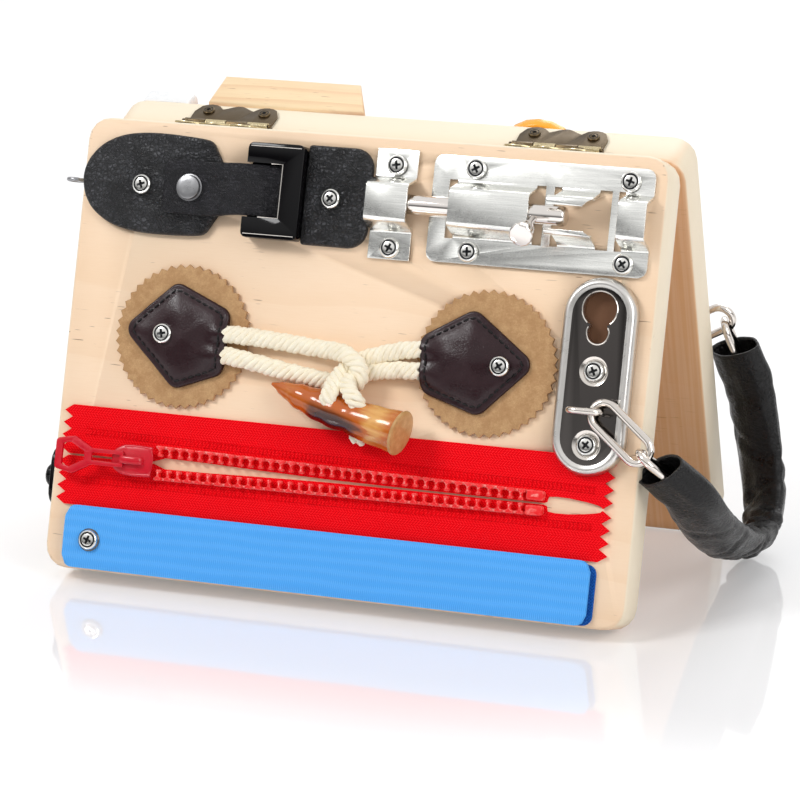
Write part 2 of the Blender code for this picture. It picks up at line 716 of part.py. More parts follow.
def snap_strap(looks, face):
    """The leather pads, the black case, and the strap that lifts off with its stud."""
    middle = -(PAD_TOP + PAD_BOTTOM) / 2
    top, bottom = -PAD_TOP, -PAD_BOTTOM
    nose = (top - bottom) * 0.30
    outline = rounded([
        (LEFT_PAD_TIP, middle, PAD_ROUND), (LEFT_PAD_SHOULDER, bottom, PAD_ROUND * 2),
        (LEFT_PAD_TAPER, bottom, PAD_ROUND / 2), (LEFT_PAD_END, middle - PAD_NECK / 2, PAD_ROUND / 3),
        (LEFT_PAD_END, middle + PAD_NECK / 2, PAD_ROUND / 3), (LEFT_PAD_TAPER, top, PAD_ROUND / 2),
        (LEFT_PAD_SHOULDER, top, PAD_ROUND * 2),
    ], steps=4)
    outline = bulged(outline, LEFT_PAD_TIP, LEFT_PAD_SHOULDER, middle, nose)
    hole = circle((LEFT_PAD_SCREW, middle), PILOT_RADIUS, SCREW_STEPS)
    mesh = slab("buckle_left_pad", outline, PAD_SHEET, [hole], PAD_EDGE)
    place("buckle_left_pad", mesh, looks["leather"], face, (0, 0, SEAT))

    corner, tight = RIGHT_PAD_CORNER, PAD_ROUND / 5
    outline = rounded([
        (RIGHT_PAD_LEFT, bottom, tight), (RIGHT_PAD_RIGHT, bottom, corner),
        (RIGHT_PAD_RIGHT, top, corner), (RIGHT_PAD_LEFT, top, tight),
    ])
    hole = circle((RIGHT_PAD_SCREW, middle), PILOT_RADIUS, SCREW_STEPS)
    mesh = slab("buckle_right_pad", outline, PAD_SHEET, [hole], PAD_EDGE)
    place("buckle_right_pad", mesh, looks["leather"], face, (0, 0, SEAT))

    outline = rounded_box(CASE_LEFT, CASE_RIGHT, -CASE_BOTTOM, -CASE_TOP, CASE_CORNER)
    mesh = slab("buckle_case", outline, CASE_HEIGHT, edge=CASE_EDGE)
    case = place("buckle_case", mesh, looks["gloss"], face, (0, 0, SEAT))
    half = STRAP_WIDTH / 2 + STRAP_MARGIN
    channel = rounded_box(CASE_LEFT - OVERRUN, CASE_RIGHT - CASE_BAR, middle - half, middle + half, CASE_CORNER / 4)
    cutter = guide("buckle_channel", slab("buckle_channel", channel, CASE_HEIGHT + OVERRUN), face, (0, 0, SEAT + CASE_FLOOR))
    combine(case, cutter)

    # The strap turns about its captive end in the channel.
    half_sheet = STRAP_SHEET / 2
    pivot_u = CASE_RIGHT - CASE_BAR - SEAT - half_sheet
    pivot_h = SEAT + CASE_FLOOR + SEAT + half_sheet
    lie = SEAT + PAD_SHEET + SEAT + half_sheet
    swing = empty("snap_strap_swing", face, (pivot_u, middle, pivot_h))
    mesh = strap_mesh(STRAP_FREE_END - pivot_u, lie - pivot_h)
    place("buckle_strap", mesh, looks["leather"], swing, (0, STRAP_WIDTH / 2, 0), (math.pi / 2, 0, 0))
    profile = [(0, 0), (STUD_RADIUS, 0), (STUD_RADIUS, STUD_DOME / 4), (STUD_RADIUS * 0.75, STUD_DOME * 0.8), (0, STUD_DOME)]
    stud_h = lie - pivot_h + half_sheet + SEAT
    place("buckle_stud", turned("buckle_stud", profile, 16), looks["gunmetal"], swing, (STUD_AT - pivot_u, 0, stud_h))


def bulged(outline, tip, shoulder, middle, nose):
    """The same outline with its pointed end made full, like a shoe tongue."""
    points = []
    for x, y in outline:
        if x < shoulder:
            part = (shoulder - x) / (shoulder - tip)
            away = math.copysign(1, y - middle) * nose * math.sin(math.pi * part) * 0.55
            y = y + away if abs(y - middle) > SEAT else y
        points.append((x, y))
    return points


def strap_mesh(free_end, rise):
    """The strap's side view, extruded across its width: flat, then diving to its captive end."""
    half = STRAP_SHEET / 2
    steps = 5
    line = [(free_end + STRAP_CORNER, rise), (-STRAP_DIVE, rise)]
    line += [(-STRAP_DIVE * (1 - i / steps), rise * (1 + math.cos(math.pi * i / steps)) / 2) for i in range(1, steps + 1)]
    upper = [(free_end, rise + half * 0.4), *[(x, y + half) for x, y in line]]
    lower = [(free_end, rise - half * 0.4), *[(x, y - half) for x, y in line]]
    end = arc((0, 0), half, -math.pi / 3, math.pi / 3, 4)
    return slab("buckle_strap", lower + end + list(reversed(upper)), STRAP_WIDTH)


def hat(shoulder_top, shoulder_bottom, wing):
    """The pressed section's (y, z) points, from the lower wing to the upper."""
    base = SEAT + SHEET
    corners = [
        (-wing, base, 0), (-HAT_FOOT, base, HAT_FOOT_ROUND), (-shoulder_bottom, HAT_TOP, HAT_SHOULDER_ROUND),
        (shoulder_top, HAT_TOP, HAT_SHOULDER_ROUND), (HAT_FOOT, base, HAT_FOOT_ROUND), (wing, base, 0),
    ]
    return rounded(corners, closed=False)


def band(u0, u1, rows):
    """Faces between two stations along the bolt, over the rows of its section."""
    return [
        [(u0, ya, za), (u1, ya, za), (u1, yb, zb), (u0, yb, zb)] for (ya, za), (yb, zb) in zip(rows, rows[1:])
    ]


def keeper(looks, face):
    rows = hat(HAT_SHOULDER, HAT_SHOULDER, KEEPER_WING)
    width = KEEPER_RIGHT - KEEPER_LEFT
    mesh = finished(pressed(band(0, width, rows), SHEET), "bolt_keeper", closed=False)
    made = place("bolt_keeper", mesh, looks["steel"], face, (KEEPER_LEFT, -BOLT_LINE, 0))
    thicken(made, SHEET)
    places = [(KEEPER_LEFT + width / 2, -BOLT_LINE + side * KEEPER_SCREW) for side in (1, -1)]
    combine(made, drills("keeper_holes", places, PILOT_RADIUS, 0, SEAT + SHEET + OVERRUN, face))
    return places


def bolt_stations():
    """Where each part of the bolt plate starts, along the bolt."""
    steps = (
        ("bar_a", END_BAR), ("relief_a", RELIEF), ("barrel", BARREL_LENGTH), ("notch", NOTCH),
        ("bar_b", CROSS_BAR), ("relief_b", RAIL_RELIEF), ("rails", RAIL_LENGTH), ("mouth", BELL_MOUTH),
        ("bar_c", CLOSING_BAR), ("relief_c", CLOSING_RELIEF), ("bridge", BRIDGE),
    )
    at = 0.0
    stations = {}
    for name, length in steps:
        stations[name] = (at, at + length)
        at += length
    return stations


def bolt_plate_quads():
    """The pressed plate: flat bars, raised barrel, open rails and end bridge, all from one sheet."""
    rows = hat(HAT_SHOULDER, HAT_SHOULDER, BOLT_PLATE_WING)
    wing_lower, wing_upper = rows[:2], rows[-2:]
    flat = [rows[0], rows[1], rows[-2], rows[-1]]
    middle = len(rows) // 2
    lower_rail = [*rows[:middle], (-LIP_LOWER, HAT_TOP)]
    upper_rail = [(LIP_UPPER, HAT_TOP), *rows[middle:]]
    quads = []
    for name, (u0, u1) in bolt_stations().items():
        if name in ("bar_a", "bar_b", "bar_c"):
            sections = [flat]
        elif name in ("barrel", "bridge"):
            sections = [rows]
        elif name == "rails":
            sections = [lower_rail, upper_rail]
        elif name == "relief_b":
            top = ARC_STEPS + 2
            sections = [wing_lower, lower_rail[top:], upper_rail[:-top], wing_upper]
        else:
            sections = [wing_lower, wing_upper]
        for section in sections:
            quads += band(u0, u1, section)
    return quads


def bolt_plate(looks, face):
    """The pressed plate with round corners, screw holes and the rails' bell mouth."""
    stations = bolt_stations()
    length = stations["bridge"][1]
    bm = pressed(bolt_plate_quads(), SHEET)
    near = SHEET / 10
    corners = [
        v for v in bm.verts
        if min(abs(v.co.x), abs(v.co.x - length)) < near and abs(abs(v.co.y) - BOLT_PLATE_WING) < near
    ]
    bmesh.ops.bevel(
        bm, geom=corners, offset=BOLT_PLATE_CORNER, segments=4, profile=0.5, affect="VERTICES", clamp_overlap=True
    )
    mesh = finished(bm, "bolt_plate", closed=False)
    made = place("bolt_plate", mesh, looks["steel"], face, (BOLT_PLATE_LEFT, -BOLT_LINE, 0))
    thicken(made, SHEET)
    screw_us = (BOLT_PLATE_LEFT + BOLT_SCREW_OUT, BOLT_PLATE_LEFT + length - BOLT_SCREW_IN)
    places = [(u, -BOLT_LINE + side * BOLT_SCREW_OUT) for side in (1, -1) for u in screw_us]
    combine(made, drills("bolt_plate_holes", places, PILOT_RADIUS, 0, SEAT + SHEET + OVERRUN, face))
    mouth = BOLT_PLATE_LEFT + (stations["mouth"][0] + stations["mouth"][1]) / 2
    outline = circle((mouth, -BOLT_LINE), MOUTH_RADIUS, 20)
    top = HAT_TOP + OVERRUN
    low = HAT_TOP - SHEET * 2
    cutter = guide("bell_mouth", slab("bell_mouth", outline, top - low), face, (0, 0, low))
    combine(made, cutter)
    return places


def bolt(looks, face):
    """The sliding rod and its faceted knob, which turns with it."""
    slide = empty("bolt_slide", face, (ROD_START, -BOLT_LINE, ROD_AXIS_HEIGHT))
    short = ROD_RADIUS - ROD_CHAMFER
    profile = [
        (0, 0), (short, 0), (ROD_RADIUS, ROD_CHAMFER), (ROD_RADIUS, ROD_LENGTH - ROD_CHAMFER),
        (short, ROD_LENGTH), (0, ROD_LENGTH),
    ]
    place("bolt_rod", turned("bolt_rod", profile, 16), looks["chrome"], slide, (0, 0, 0), (0, math.pi / 2, 0))
    stations = bolt_stations()
    knob_u = BOLT_PLATE_LEFT + (stations["notch"][0] + stations["notch"][1]) / 2
    turn = empty("bolt_turn", slide, (knob_u - ROD_START, 0, 0), (KNOB_TURN, 0, 0))
    foot = ROD_RADIUS + SEAT
    cone = (KNOB_END - KNOB_CONE_START) * 0.35
    profile = [
        (0, foot), (KNOB_NECK_RADIUS, foot), (KNOB_NECK_RADIUS, KNOB_CONE_START),
        (KNOB_END_RADIUS * 0.72, KNOB_CONE_START + cone), (KNOB_END_RADIUS, KNOB_END - KNOB_DOME),
        (KNOB_END_RADIUS * 0.9, KNOB_END), (0, KNOB_END),
    ]
    mesh = turned("bolt_knob", profile, KNOB_SIDES * 2)
    for vert in mesh.vertices:
        facet(vert)
    place("bolt_knob", mesh, looks["chrome"], turn)


def facet(vert):
    """Flattens the knob's cone to its flats."""
    x, y, z = vert.co
    away = math.hypot(x, y)
    if away <= KNOB_NECK_RADIUS * 1.1 or z < KNOB_CONE_START:
        return
    sector = math.pi * 2 / KNOB_SIDES
    off = (math.atan2(y, x) + sector / 4) % sector - sector / 2
    flat = away * math.cos(sector / 2) / math.cos(off)
    vert.co.x, vert.co.y = x * flat / away, y * flat / away


def backing_outline():
    """A pinked disc: straight bites round a circle."""
    points = []
    for i in range(BACKING_TEETH * 2):
        radius = BACKING_RADIUS - (BACKING_BITE if i % 2 else 0)
        angle = math.pi * i / BACKING_TEETH
        points.append((radius * math.cos(angle), radius * math.sin(angle)))
    return points


def toggle(looks, face):
    """Backings, patches, cords and the horn that buttons through the loop."""
    patch_low = SEAT + BACKING_SHEET + SEAT
    reach = BACKING_RADIUS
    left_shares = ((-0.88, 0.05), (-0.04, -0.74), (0.66, -0.47), (0.69, 0.40), (-0.14, 0.75))
    right_shares = ((-0.87, -0.46), (-0.03, -0.72), (0.71, 0.04), (-0.21, 0.72), (-0.93, 0.29))
    for side, centre, shares in (("left", LEFT_BACKING, left_shares), ("right", RIGHT_BACKING, right_shares)):
        name = f"toggle_{side}_backing"
        mesh = slab(name, backing_outline(), BACKING_SHEET)
        place(name, mesh, looks["suede"], face, front(*centre, SEAT))
        name = f"toggle_{side}_patch"
        corners = [(reach * x, reach * y, PATCH_ROUND) for x, y in shares]
        mesh = slab(name, rounded(corners), PATCH_SHEET, edge=PATCH_EDGE)
        place(name, mesh, looks["brown"], face, front(*centre, patch_low))
    for name, points, radius in (
        ("toggle_loop_cord", LOOP_ROUTE, LOOP_CORD_RADIUS),
        ("toggle_tie_cord_upper", TIE_UPPER_ROUTE, TIE_CORD_RADIUS),
        ("toggle_tie_cord_lower", TIE_LOWER_ROUTE, TIE_CORD_RADIUS),
    ):
        route = smooth_route([front(*p) for p in points], radius * 2)
        wire(name, route, radius, looks["rope"], face)
    horn(looks, face)


def horn(looks, face):
    """A horn: tapered, slightly bowed, waisted where the cords hold it."""
    tip, end = Vector(front(*HORN_TIP)), Vector(front(*HORN_END))
    saddle = tip.lerp(end, HORN_SADDLE_AT)
    swing = empty("horn_swing", face, saddle)
    points, scales = [], []
    for i in range(HORN_STATIONS):
        part = i / (HORN_STATIONS - 1)
        lift = HORN_BOW * math.sin(math.pi * part)
        points.append(tip.lerp(end, part) - saddle + Vector((0, -lift, lift)))
        full = HORN_TIP_RADIUS + (HORN_END_RADIUS - HORN_TIP_RADIUS) * part**0.75
        waist = math.exp(-(((part - HORN_SADDLE_AT) / 0.13) ** 2))
        dip = full_at_saddle() - HORN_SADDLE_RADIUS
        scales.append((full - dip * waist) / HORN_END_RADIUS)
    wire("toggle_horn", points, HORN_END_RADIUS, looks["horn"], swing, scales=scales, resolution=4)


def full_at_saddle():
    return HORN_TIP_RADIUS + (HORN_END_RADIUS - HORN_TIP_RADIUS) * HORN_SADDLE_AT**0.75


def pinked_edge(x, start, end, outward):
    """Bites along a cut end of tape, from one y to another."""
    count = max(2, round(abs(end - start) / PINK_PITCH))
    points = []
    for i in range(count):
        points.append((x, start + (end - start) * i / count))
        points.append((x + outward * PINK_DEPTH, start + (end - start) * (i + 0.5) / count))
    points.append((x, end))
    return points


def tape_mesh(name, lens):
    """One tape, its inner edge along y = 0 and its body towards +y, bending clear beside the lens."""
    left, right = TAPE_LEFT + PINK_DEPTH, TAPE_RIGHT - PINK_DEPTH
    inner = [(left, 0), (LENS_START, 0)]
    span = right - LENS_START
    inner += [(LENS_START + span * i / 6, lens * math.sin(math.pi * min(1, i / 5) ) ) for i in range(1, 6)]
    outline = inner + pinked_edge(right, 0, TAPE_WIDTH, 1)
    outline += pinked_edge(left, TAPE_WIDTH, 0, -1)[:-1]
    return slab(name, outline, TAPE_SHEET)


def teeth_mesh(name):
    """A comb of moulded teeth on a bead, heads towards -y, with the end stop moulded on."""
    points = []
    for i in range(TEETH_COUNT):
        at = TOOTH_PITCH * (i + 0.5)
        wide, neck, head = TOOTH_WIDE / 2, TOOTH_NECK / 2, TOOTH_HEAD / 2
        waist, tip = -TOOTH_DEPTH * 0.6, -TOOTH_DEPTH
        points += [(at - wide, 0), (at - neck, waist), (at - head, tip)]
        points += [(at + head, tip), (at + neck, waist), (at + wide, 0)]
    start = TOOTH_PITCH * TEETH_COUNT
    end = start + STOP_LENGTH
    points += [(start, -STOP_WIDTH + TOOTH_BEAD), (end, -STOP_WIDTH + TOOTH_BEAD), (end, TOOTH_BEAD)]
    points += [(0, TOOTH_BEAD)]
    return slab(name, points, TOOTH_HEIGHT)


def zip_fastener(looks, face):
    """Tapes, rows of teeth that part to the left, the slider on its run, and its pull."""
    upper_edge = TAPE_UPPER_TOP + TAPE_WIDTH
    middle = upper_edge + TAPE_GAP / 2
    mesh = tape_mesh("zip_upper_tape", LENS_DEPTH)
    place("zip_upper_tape", mesh, looks["red_tape"], face, (0, -upper_edge, SEAT))
    mesh = tape_mesh("zip_lower_tape", LENS_DEPTH)
    lower = place("zip_lower_tape", mesh, looks["red_tape"], face, (0, -upper_edge - TAPE_GAP, SEAT))
    mirror_y(lower.data)
    run = TOOTH_PITCH * TEETH_COUNT
    slope = math.atan((ROW_SPREAD_LEFT - ROW_SPREAD_RIGHT) / 2 / run)
    teeth_h = SEAT + TAPE_SHEET + SEAT
    lift = ROW_SPREAD_LEFT / 2 + TOOTH_DEPTH / 2
    mesh = teeth_mesh("zip_upper_teeth")
    place("zip_upper_teeth", mesh, looks["red_teeth"], face, (TEETH_START, lift - middle, teeth_h), (0, 0, -slope))
    mesh = teeth_mesh("zip_lower_teeth")
    mirror_y(mesh)
    place("zip_lower_teeth", mesh, looks["red_teeth"], face, (TEETH_START, -lift - middle, teeth_h), (0, 0, slope))
    slider_h = teeth_h + TOOTH_HEIGHT + SEAT
    slide = empty("zip_slide", face, (SLIDER_LEFT, -middle, slider_h))
    slider(looks, slide, slider_h - SEAT - TAPE_SHEET - SEAT)


def mirror_y(mesh):
    """Turns a mesh over along its run, still facing out."""
    for vert in mesh.vertices:
        vert.co.y = -vert.co.y
    mesh.flip_normals()


def slider(looks, slide, post_drop):
    """The slider's plate, post and lug, and the pull that hangs in the lug."""
    half = SLIDER_WIDTH / 2
    outline = rounded([
        (0, -half * 0.55, half / 3), (SLIDER_NOSE, -half, half / 3), (SLIDER_LENGTH, -half, half / 5),
        (SLIDER_LENGTH, half, half / 5), (SLIDER_NOSE, half, half / 3), (0, half * 0.55, half / 3),
    ])
    mesh = slab("zip_slider", outline, SLIDER_SHEET, edge=SLIDER_SHEET / 4)
    made = place("zip_slider", mesh, looks["red_gloss"], slide)
    post = rounded_box(SLIDER_LENGTH / 2, SLIDER_LENGTH * 0.8, -SLIDER_POST / 2, SLIDER_POST / 2, SLIDER_POST / 4)
    deep = post_drop + SLIDER_SHEET / 2
    cutter = guide("slider_post", slab("slider_post", post, deep), slide, (0, 0, -post_drop))
    combine(made, cutter, "UNION")
    eye = PULL_BAR_RADIUS * 2 + SEAT * 2
    low, sheet = SLIDER_SHEET, SLIDER_LUG_SHEET
    start, end = SLIDER_LENGTH * 0.22, SLIDER_LENGTH * 0.22 + SLIDER_LUG_LENGTH
    inner_low = low - SLIDER_SHEET / 2
    corner = sheet
    outer = rounded([
        (start, inner_low, 0), (end, inner_low, 0), (end - sheet, low + eye + sheet, corner),
        (start, low + eye + sheet, corner),
    ])
    window = rounded([
        (start + sheet, low + SEAT / 3, 0), (end - sheet * 2, low + SEAT / 3, 0),
        (end - sheet * 2, low + eye, corner / 2), (start + sheet, low + eye, corner / 2),
    ])
    lug = slab("slider_lug", outer, SLIDER_LUG_WIDTH, [window])
    cutter = guide("slider_lug", lug, slide, (0, SLIDER_LUG_WIDTH / 2, 0), (math.pi / 2, 0, 0))
    combine(made, cutter, "UNION")
    pivot_x = start + sheet + SEAT + PULL_BAR_RADIUS
    pivot_z = low + SEAT + PULL_BAR_RADIUS
    flip = empty("zip_pull_flip", slide, (pivot_x, 0, pivot_z))
    pull(looks, flip, start - pivot_x)


def pull(looks, flip, lug_edge):
    """The pull: a frame with a narrow neck and a house-shaped grip, lying to the left."""
    bar, neck, grip, frame = PULL_BAR_RADIUS, PULL_NECK_HALF, PULL_HEAD_HALF, PULL_FRAME
    length = PULL_LENGTH
    outline = rounded([
        (bar, -neck, bar), (bar, neck, bar), (-length * 0.45, neck, frame), (-length * 0.72, grip, frame),
        (-length, grip * 0.8, frame), (-length, -grip * 0.8, frame), (-length * 0.72, -grip, frame),
        (-length * 0.45, -neck, frame),
    ])
    inner_neck = neck - frame
    window = rounded([
        (-bar, -inner_neck, bar / 2), (-bar, inner_neck, bar / 2), (-length * 0.45, inner_neck, bar),
        (-length * 0.45, -inner_neck, bar),
    ])
    grip_window = rounded([
        (-length * 0.56, -inner_neck, frame / 3), (-length * 0.56, inner_neck, frame / 3),
        (-length * 0.78, grip - frame * 1.6, frame / 2), (-length * 0.90, grip * 0.8 - frame * 1.2, frame / 2),
        (-length * 0.90, frame * 1.2 - grip * 0.8, frame / 2), (-length * 0.78, frame * 1.6 - grip, frame / 2),
    ])
    mesh = slab("zip_pull", outline, PULL_SHEET, [window, grip_window], edge=PULL_SHEET / 5)
    for vert in mesh.vertices:
        narrow = max(0.0, min(1.0, 1 + (vert.co.x - lug_edge + frame) / frame)) if vert.co.x < 0 else 1.0
        vert.co.z = (vert.co.z - PULL_SHEET / 2) * (1 + (bar * 2 / PULL_SHEET - 1) * narrow)
    place("zip_pull", mesh, looks["red_gloss"], flip)


def hook_strap(looks, face):
    """The dark hook tape on the wood, and the light loop strap that peels from it."""
    corner = HOOK_WIDTH * HOOK_CORNER_SHARE
    outline = rounded_box(HOOK_LEFT, HOOK_RIGHT, -STRAP_BOTTOM, -STRAP_TOP, corner)
    mesh = slab("strap_hook_tape", outline, HOOK_SHEET)
    place("strap_hook_tape", mesh, looks["dark_blue"], face, (0, 0, SEAT))
    lie = SEAT + HOOK_SHEET + SEAT
    outline = rounded([
        (LOOP_LEFT, -STRAP_BOTTOM, corner), (LOOP_ROOT_END, -STRAP_BOTTOM, 0),
        (LOOP_ROOT_END, -STRAP_TOP, 0), (LOOP_LEFT, -STRAP_TOP, corner),
    ])
    mesh = slab("strap_root", outline, LOOP_SHEET)
    place("strap_root", mesh, looks["light_blue"], face, (0, 0, lie))
    # It folds back over the root, so it turns about its upper edge.
    peel = empty("strap_peel", face, (LOOP_ROOT_END + SEAT, -(STRAP_TOP + STRAP_BOTTOM) / 2, lie + LOOP_SHEET))
    half = (STRAP_BOTTOM - STRAP_TOP) / 2
    length = LOOP_RIGHT - LOOP_ROOT_END - SEAT
    outline = rounded([(0, -half, 0), (length, -half, corner), (length, half, corner), (0, half, 0)])
    mesh = slab("strap_loop_tape", outline, LOOP_SHEET)
    place("strap_loop_tape", mesh, looks["light_blue"], peel, (0, 0, -LOOP_SHEET))


def keyhole_outline():
    """A round hole with a smaller round foot below it, about the plate's centre."""
    big, small, drop = KEYHOLE_RADIUS, KEYHOLE_FOOT_RADIUS, KEYHOLE_FOOT_DROP
    reach = (big**2 - small**2 + drop**2) / (2 * drop)
    big_turn = math.acos(reach / big)
    small_turn = math.acos((drop - reach) / small)
    down = -math.pi / 2
    upper = arc((0, KEYHOLE_FROM_CENTRE), big, down + big_turn, down + 2 * math.pi - big_turn, 14)
    foot = arc((0, KEYHOLE_FROM_CENTRE - drop), small, math.pi / 2 + small_turn, 2.5 * math.pi - small_turn, 8)
    return upper + foot[1:-1]


def keyhole_plate_mesh(name, mirror):
    """A pressed plate: rim, sloping side, flat top with a keyhole, leg holes and dished screw seats."""
    bm = bmesh.new()
    base, top = SEAT + PLATE_SHEET, PLATE_RISE
    steps = 8
    shoulder = PLATE_SLOPE + PLATE_SHEET * 0.6
    levels = ((0, base), (PLATE_RIM, base), (PLATE_RIM + PLATE_SLOPE, top - PLATE_SHEET / 4), (PLATE_RIM + shoulder, top))
    loops = []
    for inset, height in levels:
        outline = obround(PLATE_HALF_WIDTH - inset, PLATE_HALF_LENGTH - inset, steps)
        loops.append(ring(bm, outline, height))
    for lower, upper in zip(loops, loops[1:]):
        bridge(bm, lower, upper)
    inside = [ring(bm, keyhole_outline(), top)]
    for leg in staple_legs(mirror):
        inside.append(ring(bm, circle(leg, STAPLE_RADIUS + SEAT, SCREW_STEPS), top))
    for y in (DISH_UPPER, DISH_LOWER):
        lip = ring(bm, circle((0, y), DISH_RADIUS, 12), top)
        floor = ring(bm, circle((0, y), DISH_FLOOR_RADIUS, 12), top - DISH_DEPTH)
        hole = ring(bm, circle((0, y), PILOT_RADIUS, 12), top - DISH_DEPTH)
        bridge(bm, floor, lip)
        bridge(bm, hole, floor)
        inside.append(lip)
    fill(bm, [loops[-1], *inside])
    bmesh.ops.recalc_face_normals(bm, faces=bm.faces)
    if sum(f.normal.z * f.calc_area() for f in bm.faces) < 0:
        bmesh.ops.reverse_faces(bm, faces=bm.faces)
    return finished(bm, name, closed=False)


def staple_legs(mirror):
    """Where the staple's legs pass the plate, about the plate's centre."""
    half = STAPLE_SPAN / 2
    return [(mirror * (STAPLE_SHIFT + side * half), -STAPLE_DROP) for side in (-1, 1)]


def link_points(centre, aim, across):
    """A link's centre line: two half turns joined by straights."""
    aim, across = Vector(aim).normalized(), Vector(across).normalized()
    points = []
    for end, turn in ((LINK_REACH, 0), (0, math.pi)):
        for i in range(9):
            angle = turn - math.pi / 2 + math.pi * i / 8
            swing = aim * (math.cos(angle) * LINK_TURN) + across * (math.sin(angle) * LINK_TURN)
            points.append(Vector(centre) + aim * end + swing)
    return points


def chain_end(looks, face, mirror, aims, lift):
    """A keyhole plate with its staple, a link lying flat, and the link that enters the sleeve.

    The plate stands off the face by lift, where a tape runs under its rim.
    """
    prefix = "front" if mirror > 0 else "rear"
    centre = (mirror * PLATE_CENTRE[0], -PLATE_CENTRE[1], lift)
    name = f"{prefix}_chain_plate"
    plate = place(name, keyhole_plate_mesh(name, mirror), looks["black_nickel"], face, centre)
    thicken(plate, PLATE_SHEET)
    legs = [(centre[0] + x, centre[1] + y) for x, y in staple_legs(mirror)]
    wire(f"{prefix}_chain_staple", staple_points(legs, lift), STAPLE_RADIUS, looks["nickel"], face)
    aim, aim_2 = (Vector((mirror * u, -v, h)).normalized() for u, v, h in aims)
    slack = LINK_TURN - LINK_WIRE - SEAT
    lie = lift + PLATE_RISE + SEAT + LINK_WIRE
    start = Vector((*legs[1], lie)) + aim * (slack - STAPLE_RADIUS)
    points = link_points(start, aim, aim.cross(Vector((0, 0, 1))))
    wire(f"{prefix}_chain_link", points, LINK_WIRE, looks["nickel"], face, cyclic=True)
    # The second link pulls on the side of the first one's end that faces it.
    level = Vector((*aim_2[:2], 0)).normalized()
    pull_side = level if level.dot(aim) > 0 else (level - aim * level.dot(aim)).normalized()
    far = start + aim * LINK_REACH + pull_side * LINK_TURN
    start_2 = far + aim_2 * (slack - LINK_WIRE)
    across = aim_2.cross(aim.cross(Vector((0, 0, 1))))
    points = link_points(start_2, aim_2, across)
    wire(f"{prefix}_chain_link_2", points, LINK_WIRE, looks["nickel"], face, cyclic=True)


def staple_points(legs, lift):
    """A U of wire from foot to foot through the plate."""
    low, top = SEAT * 2, lift + STAPLE_TOP
    (xa, y), (xb, _) = sorted(legs)
    bend = STAPLE_BEND
    rise = arc((xa + bend, top - bend), bend, math.pi, math.pi / 2, 4)
    fall = arc((xb - bend, top - bend), bend, math.pi / 2, 0, 4)
    return [(x, y, z) for x, z in [(xa, low), *rise, *fall, (xb, low)]]


def side_fittings(looks, face, board):
    """The screw eye and the button on the left side of the front panel."""
    side = -PANEL_WIDTH / 2
    deep = -PANEL_THICKNESS / 2
    shank = (PANEL_WIDTH / 2 + LEFT_PAD_SCREW) * EYE_SHANK_SHARE
    centre = -(SEAT + EYE_STAND + EYE_RING)
    points = [(shank, 0, 0), (-SEAT / 2, 0, 0)]
    turns = [math.radians(25 + 310 * i / 14) for i in range(15)]
    points += [(centre + EYE_RING * math.cos(a), 0, EYE_RING * math.sin(a)) for a in turns]
    eye = wire("screw_eye", points, EYE_WIRE, looks["nickel"], face)
    eye.location = (side, -EYE_AT, deep)
    pin = eye_pilot(EYE_WIRE + SEAT, shank + SEAT)
    cutter = guide("eye_pilot", pin, face, (side - OVERRUN, -EYE_AT, deep), (0, math.pi / 2, 0))
    combine(board, cutter)
    turn = (0, -math.pi / 2, 0)
    place("side_button", button_mesh(), looks["gloss"], face, (side - SEAT, -BUTTON_AT, deep), turn)


def eye_pilot(radius, length):
    """A pin cutter that starts one overrun outside the wood."""
    end = length + OVERRUN
    return turned("eye_pilot", [(0, 0), (radius, 0), (radius, end), (0, end)], SCREW_STEPS)


def button_mesh():
    """A round button on an oval flange."""
    bm = bmesh.new()
    steps = 8
    edge = BUTTON_FLANGE / 4
    levels = ((0, 0), (0, BUTTON_FLANGE - edge), (edge, BUTTON_FLANGE))
    loops = []
    for inset, height in levels:
        outline = obround(BUTTON_HALF_WIDTH - inset, BUTTON_HALF_LENGTH - inset, steps)
        loops.append(ring(bm, outline, height))
    for lower, upper in zip(loops, loops[1:]):
        bridge(bm, lower, upper)
    bm.faces.new(loops[0])
    sides = 16
    rise = BUTTON_HEIGHT - BUTTON_FLANGE
    shape = ((1.0, 0.0), (1.0, 0.5), (0.8, 0.85), (0.4, 1.0))
    knob = [ring(bm, circle((0, 0), BUTTON_RADIUS * r, sides), BUTTON_FLANGE + rise * z) for r, z in shape]
    for lower, upper in zip(knob, knob[1:]):
        bridge(bm, lower, upper)
    bm.faces.new(knob[-1])
    fill(bm, [loops[-1], knob[0]])
    return finished(bm, "side_button")


def wood_block(looks, face):
    """A block with one slanted end, glued behind the top edge."""
    low = SEAT
    outline = [
        (-BLOCK_LEFT, low), (-BLOCK_LEFT, low + BLOCK_DEPTH),
        (-BLOCK_RIGHT + BLOCK_SLANT, low + BLOCK_DEPTH), (-BLOCK_RIGHT, low),
    ]
    outline = [(x, -z) for x, z in outline]
    mesh = slab("wood_block", outline, BLOCK_HEIGHT, edge=BLOCK_EDGE, both_edges=True)
    place("wood_block", mesh, looks["block"], face, (0, BLOCK_PROUD - BLOCK_HEIGHT, 0), (-math.pi / 2, 0, 0))


